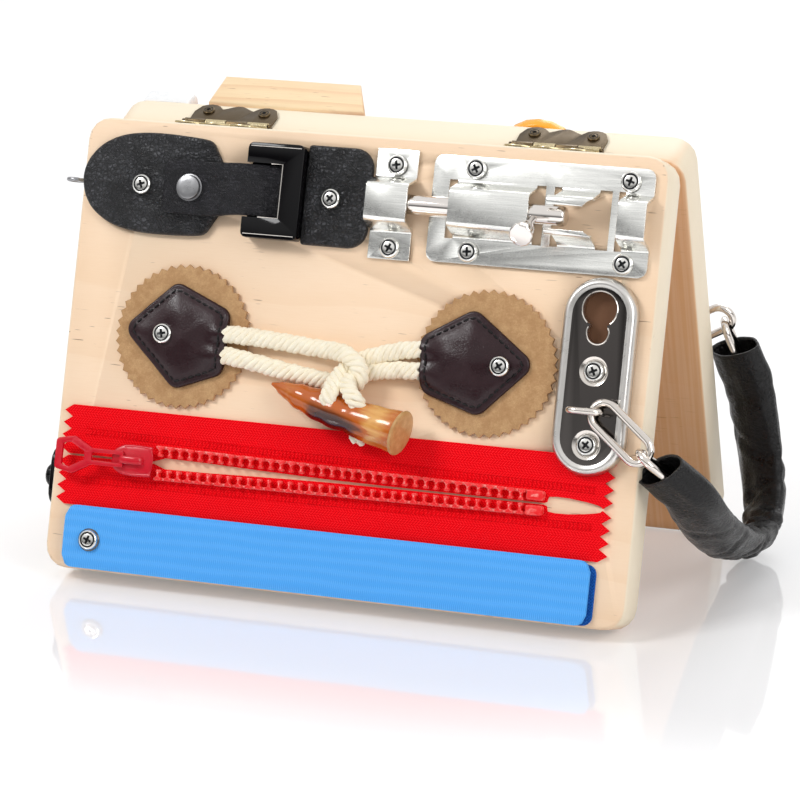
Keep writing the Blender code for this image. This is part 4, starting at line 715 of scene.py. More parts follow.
@effect(Ring_width=6.0)
def wood_grain(bench: Bench, place: Socket, given: dict[str, Socket]) -> dict[str, Socket]:
    """Growth rings, fibres and short dark pores along x."""
    sway = bench.grain(place, (0.006, 0.02, 0.02), 2.0)
    knot = bench.grain(place, (0.012, 0.03, 0.03), 1.0)
    split = bench.axes(place)
    across = bench.plus(split[1], bench.times(sway, 16.0))
    deep = bench.plus(split[2], bench.times(knot, 8.0))
    below = bench.plus(deep, HEART_DEPTH)
    away = bench.math("SQRT", bench.plus(bench.math("POWER", across, 2.0), bench.math("POWER", below, 2.0)))
    ring = bench.math("FRACT", bench.math("DIVIDE", away, given["Ring width"]))
    late = bench.spread(ring, 0.55, 0.97)
    fall = bench.spread(ring, 0.97, 1.0, 1.0, 0.0)
    rings = bench.times(late, fall)
    fibre = bench.grain(place, (0.12, 3.2, 3.2), 4.0, 0.65)
    flecks = bench.grain(place, (0.13, 1.9, 1.9), 1.0, 0.4, turn=(0, 0, -0.05))
    sparse = bench.spread(bench.noise(place, 0.035, 1.0), 0.45, 0.62)
    pores = bench.times(bench.spread(flecks, 0.70, 0.76), sparse)
    mottle = bench.grain(place, (0.012, 0.05, 0.05), 3.0)
    height = bench.less(bench.times(fibre, 0.6), bench.times(pores, 0.8))
    return {"Rings": rings, "Fibre": fibre, "Pores": pores, "Mottle": mottle, "Height": height}


@effect()
def brushed(bench: Bench, place: Socket, given: dict[str, Socket]) -> dict[str, Socket]:
    """Fine streaks along x."""
    fine = bench.grain(place, (0.12, 5.0, 5.0), 3.0, 0.7)
    broad = bench.grain(place, (0.05, 1.3, 1.3), 2.0)
    mixed = bench.plus(bench.times(fine, 0.6), bench.times(broad, 0.4))
    streaks = bench.spread(mixed, 0.36, 0.64)
    return {"Streaks": streaks, "Height": fine}


@effect(Pebbles_per_mm=2.2, Wrinkles=0.3)
def leather_grain(bench: Bench, place: Socket, given: dict[str, Socket]) -> dict[str, Socket]:
    """Pebbles parted by creases, with a few longer wrinkles."""
    drift = bench.node("TexNoise", {"Vector": place, "Scale": 0.8, "Detail": 2.0}).outputs["Color"]
    warped = bench.node("VectorMath", {0: place, 1: drift}, operation="ADD").outputs[0]
    sized = bench.resized(warped, given["Pebbles per mm"])
    edge = bench.cells(sized, 1.0)
    creases = bench.spread(edge, 0.0, 0.22)
    long = bench.grain(warped, (0.25, 0.9, 0.9), 4.0, 0.6, 0.6, turn=(0, 0, 0.5))
    wrinkles = bench.spread(bench.math("ABSOLUTE", bench.less(long, 0.5)), 0.0, 0.07)
    mottle = bench.noise(place, 0.14, 3.0)
    deep = bench.times(wrinkles, given["Wrinkles"])
    height = bench.plus(bench.times(creases, 0.6), deep)
    return {"Creases": creases, "Mottle": mottle, "Height": height}


@effect(Across_per_mm=1.4, Along_per_mm=1.2, Slant=1.0)
def weave(bench: Bench, place: Socket, given: dict[str, Socket]) -> dict[str, Socket]:
    """Crossing threads, their ridges along x and y, with broken rows as in a herringbone."""
    split = bench.axes(place)
    along = bench.times(split[0], bench.times(given["Across per mm"], 2 * math.pi))
    over = bench.times(split[1], bench.times(given["Along per mm"], 2 * math.pi))
    band = bench.math("PINGPONG", bench.times(split[1], 0.55), 1.0)
    slant = bench.times(band, bench.times(given["Slant"], 2 * math.pi))
    first = bench.math("SINE", bench.plus(along, slant))
    second = bench.math("SINE", bench.plus(over, bench.times(first, 0.6)))
    threads = bench.math("MULTIPLY_ADD", bench.times(first, second), 0.5)
    threads.node.inputs[2].default_value = 0.5
    fuzz = bench.noise(place, 6.0, 3.0, 0.7)
    height = bench.plus(threads, bench.times(fuzz, 0.5))
    return {"Threads": threads, "Fuzz": fuzz, "Height": height}


@effect(Amount=1.0)
def wear(bench: Bench, place: Socket, given: dict[str, Socket]) -> dict[str, Socket]:
    """Patchy wear and fine scratches, 0 where the finish is whole."""
    patches = bench.noise(place, 0.35, 5.0, 0.65)
    scratch = bench.grain(place, (0.5, 7.0, 3.0), 2.0, turn=(0, 0, 0.6))
    lines = bench.spread(scratch, 0.66, 0.74)
    point = bench.node("NewGeometry").outputs["Pointiness"]
    edges = bench.spread(point, 0.52, 0.60)
    worn = bench.times(edges, bench.spread(patches, 0.35, 0.65))
    mask = bench.times(bench.math("MAXIMUM", worn, bench.times(lines, 0.35)), given["Amount"], True)
    return {"Mask": mask, "Patches": patches}


@dataclass(frozen=True)
class Finish:
    """A surface finish: one Principled shader, fed by the shared effects."""

    name: str
    colour: Colour
    roughness: float = 0.5
    metallic: float = 0.0
    sheen: float = 0.0
    specular: float = 0.5

    def material(self, side: Side | None = None) -> bpy.types.Material:
        """The material of this finish.

        Args:
            side: The face whose frame the grain follows, for a mesh that is drawn in the row frame.

        Returns:
            The material, built once for each side.
        """
        name = f"{self.name}_finish" if side is None else f"{self.name}_finish_{side.name.lower()}"
        known = bpy.data.materials.get(name)
        if known:
            return known
        made = bpy.data.materials.new(name)
        made.use_nodes = True
        made.diffuse_color = (*self.colour, 1.0)
        bench = Bench(made.node_tree)
        bench.give("Base Color", self.colour)
        bench.give("Roughness", self.roughness)
        bench.give("Metallic", self.metallic)
        bench.give("Sheen Weight", self.sheen)
        bench.give("Specular IOR Level", self.specular)
        place = bench.node("TexCoord").outputs["Object"]
        if side is not None:
            origin, turn, _ = side.matrix.decompose()
            inputs = {"Vector": place, "Location": tuple(origin), "Rotation": tuple(turn.to_euler())}
            place = bench.node("Mapping", inputs, vector_type="TEXTURE").outputs[0]
        self.dress(bench, place)
        return made

    def dress(self, bench: Bench, place: Socket) -> None:
        """Feeds the shader with this finish's own detail.

        Args:
            bench: The bench of the material's tree.
            place: The point, in metres on the piece.
        """
        worn = bench.use(wear(), Vector=place, Amount=0.3)
        bench.give("Roughness", bench.spread(worn["Patches"], 0.2, 0.8, self.roughness * 0.8, self.roughness * 1.3))


@dataclass(frozen=True)
class Wood(Finish):
    """Sawn wood, its rings along x."""

    late: Colour = (0.0, 0.0, 0.0)
    dark: Colour = (0.0, 0.0, 0.0)
    edge: Colour = (0.0, 0.0, 0.0)
    ring_width: float = 6.0
    ring_share: float = 0.5

    def dress(self, bench: Bench, place: Socket) -> None:
        """Lays rings, fibres and pores over the wood's colour, and gives the faces that look along x the edge colour.
        """
        grain = bench.use(wood_grain(), Vector=place, Ring_width=self.ring_width)
        colour = bench.blend(bench.times(grain["Rings"], self.ring_share), self.colour, self.late)
        colour = bench.blend(bench.spread(grain["Mottle"], 0.3, 0.7, 0.0, 0.35), colour, self.late)
        colour = bench.blend(bench.spread(grain["Fibre"], 0.35, 0.75, 0.0, 0.22), colour, self.late)
        colour = bench.blend(bench.times(grain["Pores"], 0.8), colour, self.dark)
        # On the pine panels the edge colour is paler than the face and paints the light on their side edges; on the
        # block it is a darker tone.
        facing = bench.facing()[0]
        ends = bench.spread(bench.math("ABSOLUTE", facing), 0.4, 0.8, 0.0, 0.7)
        bench.give("Base Color", bench.blend(ends, colour, self.edge))
        bench.give("Roughness", bench.spread(grain["Fibre"], 0.2, 0.8, self.roughness - 0.06, self.roughness + 0.1))
        bench.give("Normal", bench.bump(grain["Height"], 0.05, 0.5))


@dataclass(frozen=True)
class Panel(Wood):
    """Pine panel: sanded outer face, darker sawn inner face."""

    inner: Colour = (0.0, 0.0, 0.0)

    def dress(self, bench: Bench, place: Socket) -> None:
        """Adds painted light on the faces that look up, and the inner face's warmer colour and saw marks, to the wood.
        """
        super().dress(bench, place)
        outer = bench.shader.inputs["Base Color"].links[0].from_socket
        upward = bench.facing()[2]
        # Faces that look up take the pale edge colour: painted light on the panels' top faces.
        outer = bench.blend(bench.spread(upward, 0.7, 0.95, 0.0, 0.85), outer, self.edge)
        deep = bench.axes(place)[2]
        inside = bench.spread(deep, -0.0149, -0.0144, 1.0, 0.0)
        marks = bench.grain(place, (900.0, 12.0, 12.0), 2.0, turn=(0, 0, 0.06))
        tint = bench.blend(bench.spread(marks, 0.4, 0.65, 0.0, 0.35), self.inner, self.late)
        bench.give("Base Color", bench.blend(bench.times(inside, 0.75), outer, tint, "MIX"))


@dataclass(frozen=True)
class Metal(Finish):
    """Plated or bare metal with light wear."""

    worn: Colour = (0.8, 0.8, 0.78)
    amount: float = 0.5
    streaks: float = 0.0

    def dress(self, bench: Bench, place: Socket) -> None:
        """Varies the polish, brushes it along x where asked, and bares the edges."""
        worn = bench.use(wear(), Vector=place, Amount=self.amount)
        brush = bench.use(brushed(), Vector=place)
        dim = tuple(c * BRUSHED_SHADE for c in self.colour)
        shade = bench.blend(bench.times(brush["Streaks"], self.streaks), self.colour, dim)
        bench.give("Base Color", bench.blend(worn["Mask"], shade, self.worn))
        rough = bench.spread(worn["Patches"], 0.25, 0.75, self.roughness * 0.85, self.roughness * 1.2)
        rough = bench.plus(rough, bench.times(brush["Streaks"], self.streaks * 0.12), True)
        bench.give("Roughness", rough)
        if self.streaks:
            bench.give("Normal", bench.bump(brush["Height"], 0.012, 0.14 * self.streaks))


@dataclass(frozen=True)
class Leather(Finish):
    """Grained leather."""

    pebbles: float = 2.2
    wrinkles: float = 0.3
    relief: float = 0.10
    # pale: painted highlight on the raised grain, and the colour of worn spots.
    pale: Colour = (0.1, 0.1, 0.11)

    def dress(self, bench: Bench, place: Socket) -> None:
        """Adds pebbles and wrinkles, paints highlights on the raised grain and shade in its creases, and pales the
        worn spots.
        """
        grain = bench.use(leather_grain(), Vector=place, Pebbles_per_mm=self.pebbles, Wrinkles=self.wrinkles)
        worn = bench.use(wear(), Vector=place, Amount=0.5)
        # The pale colour on the pebbles' raised middles, against darker creases, is painted highlight and shade.
        share = bench.times(grain["Creases"], bench.spread(grain["Mottle"], 0.35, 0.7, 0.05, 0.55))
        colour = bench.blend(share, self.colour, self.pale)
        # Worn edges and scratches take the pale colour too: real wear.
        bench.give("Base Color", bench.blend(worn["Mask"], colour, self.pale))
        bench.give("Roughness", bench.spread(grain["Mottle"], 0.3, 0.7, self.roughness - 0.08, self.roughness + 0.12))
        bench.give("Normal", bench.bump(grain["Height"], self.relief, 1.0))


@dataclass(frozen=True)
class Cloth(Finish):
    """Woven or brushed cloth."""

    across: float = 1.4
    along: float = 1.2
    slant: float = 0.0
    relief: float = 0.15
    contrast: float = 0.6
    # The shade colour and the one below paint shade between the threads and highlights on their tops.
    shade: Colour = (0.0, 0.0, 0.0)
    fleck: Colour = (1.0, 1.0, 1.0)

    def dress(self, bench: Bench, place: Socket) -> None:
        """Paints shade between the threads and highlights on their tops."""
        made = bench.use(weave(), Vector=place, Across_per_mm=self.across, Along_per_mm=self.along, Slant=self.slant)
        # Painted shade between the threads, then painted highlights on their tops.
        colour = bench.blend(bench.spread(made["Threads"], 0.1, 0.55, self.contrast, 0.0), self.colour, self.shade)
        tops = bench.times(bench.spread(made["Threads"], 0.65, 0.95), bench.spread(made["Fuzz"], 0.4, 0.6, 0.25, 1.0))
        colour = bench.blend(bench.times(tops, self.contrast), colour, self.fleck)
        bench.give("Base Color", colour)
        bench.give("Normal", bench.bump(made["Height"], self.relief, 0.7))


@dataclass(frozen=True)
class Suede(Finish):
    """Napped leather or cotton: soft clouds and a fine fuzz."""

    shade: Colour = (0.0, 0.0, 0.0)
    fine: float = 5.0

    def dress(self, bench: Bench, place: Socket) -> None:
        """Clouds the nap and roughs it up."""
        near = bench.near(place)
        clouds = bench.noise(near, 0.35, 4.0, 0.6)
        fuzz = bench.noise(near, self.fine, 4.0, 0.75)
        colour = bench.blend(bench.spread(clouds, 0.3, 0.7, 0.0, 0.6), self.colour, self.shade)
        colour = bench.blend(bench.spread(fuzz, 0.35, 0.7, 0.45, 0.0), colour, self.shade)
        bench.give("Base Color", colour)
        bench.give("Normal", bench.bump(fuzz, 0.12, 0.8))


@dataclass(frozen=True)
class Horn(Finish):
    """Polished horn: dark and amber layers along x, and painted shade on the lower side of its waist."""

    dark: Colour = (0.02, 0.005, 0.001)
    pale: Colour = (0.8, 0.4, 0.1)
    zones: tuple[Flat, ...] = (
        (0.0, 0.4), (0.15, 0.6), (0.3, 0.45), (0.5, 0.4), (0.66, 0.5), (0.8, 0.85), (0.95, 0.6),
    )

    def dress(self, bench: Bench, place: Socket) -> None:
        """Lays zones of dark, amber and pale horn along x, their borders ragged, under long streaks, and paints shade
        on the waist's lower side.
        """
        near = bench.near(place)
        streaks = bench.grain(near, (0.05, 0.55, 0.55), 4.0, 0.6, 0.4)
        split = bench.axes(near)
        cloud = bench.grain(near, (0.09, 0.2, 0.2), 3.0, 0.6, 0.5)
        ragged = bench.plus(split[0], bench.times(bench.less(cloud, 0.5), 14.0))
        share = bench.math("DIVIDE", bench.plus(ragged, 27.0), 49.0)
        ramp = bench.node("ValToRGB", {0: share})
        points = ramp.color_ramp.elements
        while len(points) < len(self.zones):
            points.new(0.5)
        for point, (at, level) in zip(points, self.zones):
            point.position = at
            point.color = (level, level, level, 1.0)
        # Below its middle the waist is darkened: painted shade on the horn's lower side.
        under = bench.spread(split[1], 1.5, -3.5)
        waist = bench.times(bench.spread(share, 0.26, 0.42), bench.spread(share, 0.84, 0.7))
        level = bench.plus(ramp.outputs[0], bench.times(bench.less(streaks, 0.5), 0.4))
        level = bench.less(level, bench.times(bench.times(under, waist), 0.6))
        colour = bench.blend(bench.spread(level, -0.15, 0.45), self.dark, self.colour)
        colour = bench.blend(bench.spread(level, 0.5, 0.95), colour, self.pale)
        bench.give("Base Color", colour)
        bench.give("Roughness", bench.spread(streaks, 0.2, 0.8, self.roughness, self.roughness + 0.1))


@dataclass(frozen=True)
class Moulding(Finish):
    """Moulded plastic or paint with a faint skin and a paler colour on its edges: wear, and on the red teeth painted
    highlights.
    """

    relief: float = 0.02
    rubbed: Colour = (0.8, 0.8, 0.8)
    amount: float = 0.25

    def dress(self, bench: Bench, place: Socket) -> None:
        """Adds the skin, uneven gloss and the edges' paler colour."""
        worn = bench.use(wear(), Vector=place, Amount=self.amount)
        near = bench.near(place)
        skin = bench.noise(near, 1.2, 4.0, 0.6)
        # The paler edge colour is wear, and on the red teeth it paints their highlights.
        bench.give("Base Color", bench.blend(worn["Mask"], self.colour, self.rubbed))
        bench.give("Roughness", bench.spread(worn["Patches"], 0.25, 0.75, self.roughness * 0.7, self.roughness * 1.4))
        bench.give("Normal", bench.bump(skin, self.relief, 0.4))


# The pine's pale edge colour, on faces that look along x and up, is painted light on the panels' sides and top.
PINE = Panel(
    "pine", tone(250, 222, 192), 0.5, late=tone(240, 204, 166), dark=tone(120, 78, 50),
    edge=tone(248, 239, 216), inner=tone(222, 164, 106), ring_width=9.0, ring_share=0.3, specular=0.3,
)
BLOCK = Wood(
    "block_wood", tone(250, 226, 186), 0.5, late=tone(232, 184, 138), dark=tone(170, 110, 80),
    edge=tone(240, 196, 160), ring_width=8.0, ring_share=0.45, specular=0.3,
)
STEEL = Metal("brushed_steel", tone(242, 242, 238), 0.20, 1.0, streaks=0.7, amount=0.0)
SCREW_STEEL = Metal("screw_steel", tone(226, 225, 221), 0.18, 1.0, amount=0.3)
CHROME = Metal("chrome", tone(224, 218, 213), 0.08, 1.0, amount=0.0)
NICKEL = Metal("nickel", tone(216, 209, 202), 0.14, 1.0, amount=0.2)
ROLLED = Metal("rolled_rim", tone(206, 203, 199), 0.30, 1.0, amount=0.1)
# A dark metal that paints the dark reflection on the chain plate's face.
PAINTED_DARK_REFLECTION = Metal("dark_mirror", tone(82, 78, 76), 0.12, 1.0, amount=0.0)
GUNMETAL = Metal("gunmetal", tone(150, 150, 152), 0.30, 1.0, worn=tone(190, 190, 192), amount=0.2)
GOLD = Metal("gold_plate", tone(194, 178, 140), 0.28, 1.0, worn=tone(238, 226, 196), amount=0.6)
BRONZE = Metal("bronze", tone(92, 78, 58), 0.40, 1.0, worn=tone(140, 120, 84), amount=0.5)
BLACK_LEATHER = Leather(
    "black_leather", tone(26, 26, 29), 0.36, pebbles=0.7, wrinkles=0.9, relief=0.75, pale=tone(88, 89, 94),
    specular=0.5,
)
STRAP_LEATHER = Leather(
    "strap_leather", tone(21, 20, 25), 0.36, pebbles=1.1, wrinkles=0.8, relief=0.40, pale=tone(56, 55, 62),
    specular=0.35,
)
BROWN_LEATHER = Leather(
    "brown_leather", tone(38, 16, 21), 0.27, pebbles=1.2, wrinkles=0.05, relief=0.03, pale=tone(48, 25, 30),
    specular=0.32,
)
GLOSS = Moulding(
    "gloss_black", tone(6, 5, 7), 0.07, rubbed=tone(40, 40, 42), amount=0.0, relief=0.005, specular=0.2,
)
SUEDE = Suede(
    "tan_suede", tone(204, 166, 122), 0.92, sheen=0.1, shade=tone(164, 122, 82), fine=2.2, specular=0.1,
)
ROPE = Suede(
    "cream_rope", tone(255, 250, 232), 0.92, sheen=0.1, shade=tone(250, 236, 208), fine=2.6, specular=0.1,
)
THREAD = Suede("dark_thread", tone(14, 9, 11), 0.6, shade=tone(6, 4, 5), specular=0.3)
HORN = Horn("amber_horn", tone(190, 92, 16), 0.09, dark=tone(58, 18, 8), pale=tone(232, 178, 100), specular=0.6)
HORN_END = Suede("horn_end", tone(212, 172, 118), 0.3, shade=tone(176, 122, 62), fine=0.5, specular=0.5)
RED_TAPE = Cloth(
    "red_tape", tone(250, 8, 22), 0.85, across=1.0, along=1.25, slant=1.0, relief=0.10, contrast=0.75,
    shade=tone(200, 0, 8), fleck=tone(255, 70, 78), specular=0.04,
)
# The pale pink on the teeth's edges paints their highlights.
RED_TEETH = Moulding("red_teeth", tone(244, 30, 34), 0.24, rubbed=tone(255, 150, 142), amount=1.0, specular=0.5)
RED_GLOSS = Moulding("red_gloss", tone(206, 8, 36), 0.20, rubbed=tone(236, 90, 100), amount=0.3, specular=0.4)
RED_THREAD = Suede("red_thread", tone(244, 14, 26), 0.8, shade=tone(200, 0, 8), specular=0.05)
LIGHT_BLUE = Cloth(
    "light_blue", tone(90, 176, 252), 0.85, across=1.5, along=0.8, slant=0.0, relief=0.08, contrast=0.5,
    shade=tone(60, 146, 232), fleck=tone(134, 198, 255), specular=0.08,
)
DARK_BLUE = Cloth(
    "dark_blue", tone(28, 96, 184), 0.85, across=1.0, along=1.0, relief=0.25, shade=tone(10, 60, 132),
    fleck=tone(60, 130, 210), specular=0.12,
)
SLEEVE = Leather(
    "sleeve_black", tone(13, 12, 13), 0.27, pebbles=0.5, wrinkles=0.5, relief=0.12, pale=tone(22, 21, 23),
    specular=0.3,
)
KEYHOLE = Moulding("keyhole_shadow", tone(112, 80, 60), 0.6, rubbed=tone(130, 98, 74), amount=0.0, specular=0.1)
WHITE = Moulding(
    "white_plastic", tone(246, 247, 248), 0.3, rubbed=tone(250, 250, 250), amount=0.0, specular=0.3,
)
ORANGE = Moulding("orange_plastic", tone(255, 178, 46), 0.25, rubbed=tone(255, 210, 130), amount=0.0)
# Dark colour for screw recesses: painted shade.
RECESS_SHADE = Moulding("recess_dark", tone(34, 35, 37), 0.35, 0.6, rubbed=tone(60, 60, 62), amount=0.0)
DARK_RING = Metal("dark_ring", tone(66, 62, 60), 0.3, 1.0, amount=0.2)


def local_box(node: str, side: Side) -> tuple[Vector, Vector]:
    """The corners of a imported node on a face.

    Args:
        node: The node's name.
        side: The face whose frame counts.

    Returns:
        The lowest and highest corner, in millimetres.
    """
    back = side.matrix.inverted()
    points = [back @ v.co / MM for v in frame["nodes"][node].data.vertices]
    low = Vector([min(p[i] for p in points) for i in range(3)])
    high = Vector([max(p[i] for p in points) for i in range(3)])
    return low, high


@dataclass
class Fitting:
    """A sub-assembly on one face of a panel."""

    side: Side = Side.FRONT

    def put(
        self,
        name: str,
        shape: Shape | bpy.types.Mesh,
        finish: Finish,
        node: str = "",
        body: Body | None = None,
        slot: str = "",
        sharp: float = 35.0,
    ) -> bpy.types.Object:
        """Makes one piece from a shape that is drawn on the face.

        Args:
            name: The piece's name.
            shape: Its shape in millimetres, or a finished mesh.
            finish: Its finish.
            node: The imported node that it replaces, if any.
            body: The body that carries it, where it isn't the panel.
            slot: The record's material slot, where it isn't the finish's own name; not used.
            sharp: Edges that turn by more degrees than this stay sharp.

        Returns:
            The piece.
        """
        mesh = shape.mesh(name, sharp) if isinstance(shape, Shape) else shape
        piece = placed(name, mesh)
        if not mesh.materials:
            mesh.materials.append(finish.material())
        piece.matrix_world = self.side.matrix
        carrier = (body or self.side.body).value
        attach(piece, carrier)
        if node:
            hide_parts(node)
        slot or finish.name
        log.info("%s rides on %s", name, carrier)
        return piece

    def dress_node(self, node: str, finish: Finish, bevel: float = 0.0, sharp: float = 30.0) -> None:
        """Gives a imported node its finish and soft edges.

        Args:
            node: The node's name.
            finish: Its finish.
            bevel: How far its sharp edges are rounded, in millimetres.
            sharp: Edges that turn by more degrees than this are rounded.
        """
        thing = frame["nodes"][node]
        thing.data.materials.clear()
        thing.data.materials.append(finish.material(self.side))
        weld = thing.modifiers.new("Joined", "WELD")
        weld.merge_threshold = 2e-6
        thing.data.shade_smooth()
        if bevel:
            rim = thing.modifiers.new("Rim", "BEVEL")
            rim.width = bevel * MM
            rim.segments = 2
            rim.limit_method = "ANGLE"
            rim.angle_limit = math.radians(sharp)
            rim.harden_normals = True
        log.info("%s keeps its packed shape", node)


def boolean_cut(mesh: bpy.types.Mesh, cutter: bpy.types.Mesh) -> bpy.types.Mesh:
    """The first mesh less the second.

    Args:
        mesh: The mesh to cut.
        cutter: What is taken away.

    Returns:
        A new mesh.
    """
    whole, tool = placed("whole", mesh), placed("tool", cutter)
    step = whole.modifiers.new("Cut", "BOOLEAN")
    step.object = tool
    step.solver = "EXACT"
    bpy.context.view_layer.update()
    cut = bpy.data.meshes.new_from_object(whole.evaluated_get(bpy.context.evaluated_depsgraph_get()))
    for thing in (whole, tool):
        bpy.data.objects.remove(thing)
    return cut


def two_tone(
    mesh: bpy.types.Mesh, first: Finish, second: Finish, choose: Callable[[bpy.types.MeshPolygon], bool], sharp: float
) -> None:
    """Dresses a mesh in two finishes and smooths it.

    Args:
        mesh: The mesh.
        first: The finish of most faces.
        second: The finish of the chosen faces.
        choose: Says whether a face is chosen.
        sharp: Edges that turn by more degrees than this stay sharp.
    """
    mesh.materials.clear()
    for finish in (first, second):
        mesh.materials.append(finish.material())
    for face in mesh.polygons:
        face.material_index = int(choose(face))
    mesh.shade_smooth()
    mesh.set_sharp_from_angle(angle=math.radians(sharp))


@dataclass(frozen=True)
class Anchor:
    """One end of the toggle: its backing's middle, its patch, its screw and where the ropes come out."""

    name: str
    centre: Flat
    corners: tuple[Flat, ...]
    screw: Flat
    turn: float
    mouth: float
    ropes: Flat


ANCHORS = (
    Anchor(
        "left", (-58.2, -70.3), ((-0.88, 0.05), (-0.04, -0.74), (0.66, -0.47), (0.69, 0.40), (-0.14, 0.75)),
        (-63.9, -70.0), 12, -42.6, (-68.4, -75.3),
    ),
    Anchor(
        "right", (46.6, -70.0), ((-0.87, -0.46), (-0.03, -0.72), (0.71, 0.04), (-0.21, 0.72), (-0.93, 0.29)),
        (52.2, -70.6), 38, 25.6, (-67.4, -74.6),
    ),
)
STRAP_SCREW = (-83.1, -139.9)
PACKED_SCREWS = {
    "left_pad_screw": (20, 1.3, -0.8),
    "right_pad_screw": (50, 0.0, -0.8),
    "keeper_screw_1": (10, 0.2, -0.8),
    "keeper_screw_2": (65, 0.4, -0.8),
    "bolt_plate_screw_1": (30, 1.3, 0.2),
    "bolt_plate_screw_2": (75, 0.6, -0.3),
    "bolt_plate_screw_3": (5, 1.2, -0.3),
    "bolt_plate_screw_4": (40, 0.6, -0.3),
    "chain_plate_screw_1": (25, 0, 0),
    "chain_plate_screw_2": (55, 0, 0),
}


@dataclass
class ScrewSet(Fitting):
    """Cross-head screws: a pan head with a rim, and a cross recess coloured dark as painted shade."""

    radius: float = 3.35
    height: float = 1.5
    arm: float = 1.85
    arm_width: float = 0.85
    recess: float = 0.95
    finish: Finish = SCREW_STEEL

    def head(self, name: str) -> bpy.types.Mesh:
        """The head's mesh, seated at zero.

        Args:
            name: The mesh's name.

        Returns:
            The mesh, its recess in the second material.
        """
        r, h = self.radius, self.height
        profile = [
            (NEAR_ZERO, -1.2), (r * 0.38, -1.2), (r * 0.38, 0.0), (r, 0.0), (r, h * 0.35), (r * 0.97, h * 0.62),
            (r * 0.91, h * 0.82), (r * 0.83, h * 0.92), (r * 0.77, h * 0.90), (r * 0.72, h * 0.72),
            (r * 0.66, h * 0.72), (r * 0.61, h * 0.90), (r * 0.5, h * 0.96), (r * 0.3, h * 0.99), (NEAR_ZERO, h),
        ]
        cut = lathed(profile, 32).mesh(name)
        bars = []
        for level, reach, half in ((h - self.recess, 0.45, 0.28), (h + 0.3, self.arm, self.arm_width / 2)):
            corners = ((-reach, -half), (reach, -half), (reach, half), (-reach, half))
            bars.append([Vector((x, y, level)) for x, y in corners])
        bar = lofted(bars)
        floor = h - self.recess
        pit = lathed([(NEAR_ZERO, floor - 0.15), (0.5, floor), (0.78, h + 0.3), (NEAR_ZERO, h + 0.3)], 12)
        for tool in (bar, bar.moved(Matrix.Rotation(math.pi / 2, 4, "Z")), pit):
            cut = boolean_cut(cut, tool.mesh("cross_tool"))
        cut.name = name

        def hollow(face: bpy.types.MeshPolygon) -> bool:
            """Whether a face lies in the recess or in the ring round it, the places painted dark as shade."""
            x, y, z = (c / MM for c in face.center)
            away = math.hypot(x, y)
            recess = away < self.arm + 0.05 and 0 < z < h * 0.89
            return recess or (r * 0.63 < away < r * 0.76 and h * 0.6 < z < h * 0.85)

        # The recess and the groove ring take a dark colour: painted shade.
        two_tone(cut, self.finish, RECESS_SHADE, hollow, 35)
        return cut

    def build(self) -> None:
        """Puts a head where each packed screw is, and the small ones that have no solid."""
        large = self.head("screw_head")
        for node, (turn, right, up) in PACKED_SCREWS.items():
            low, high = local_box(node, self.side)
            middle = (low + high) / 2
            place = (middle.x + right, middle.y + up, high.z - self.height)
            self.seat(node + "_head", large, place, turn, node)
        for anchor in ANCHORS:
            self.seat(f"{anchor.name}_patch_screw", large, (*anchor.screw, 4.7), anchor.turn)
        self.seat("strap_screw", large, (*STRAP_SCREW, 3.3), 70)
        washer = lathed([(2.2, 3.1), (3.75, 3.1), (3.75, 3.45), (3.55, 3.65), (2.2, 3.65), (2.2, 3.1)], 32)
        washer.faces = [face for face in washer.faces if len(face) == 4]
        self.put("strap_washer", washer.shifted(*STRAP_SCREW), DARK_RING, slot="brushed_steel")

    def seat(self, name: str, head: bpy.types.Mesh, place: Place, turn: float, node: str = "") -> None:
        """Puts one screw on the face.

        Args:
            name: The piece's name.
            head: The head's mesh.
            place: Where it sits, in millimetres.
            turn: How far it is turned, in degrees.
            node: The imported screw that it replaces, if any.
        """
        piece = placed(name, head)
        spot = Matrix.Translation(Vector(place) * MM) @ Matrix.Rotation(math.radians(turn), 4, "Z")
        piece.matrix_world = self.side.matrix @ spot
        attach(piece, self.side.body.value)
        if node:
            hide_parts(node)
        log.info("%s is seated", name)


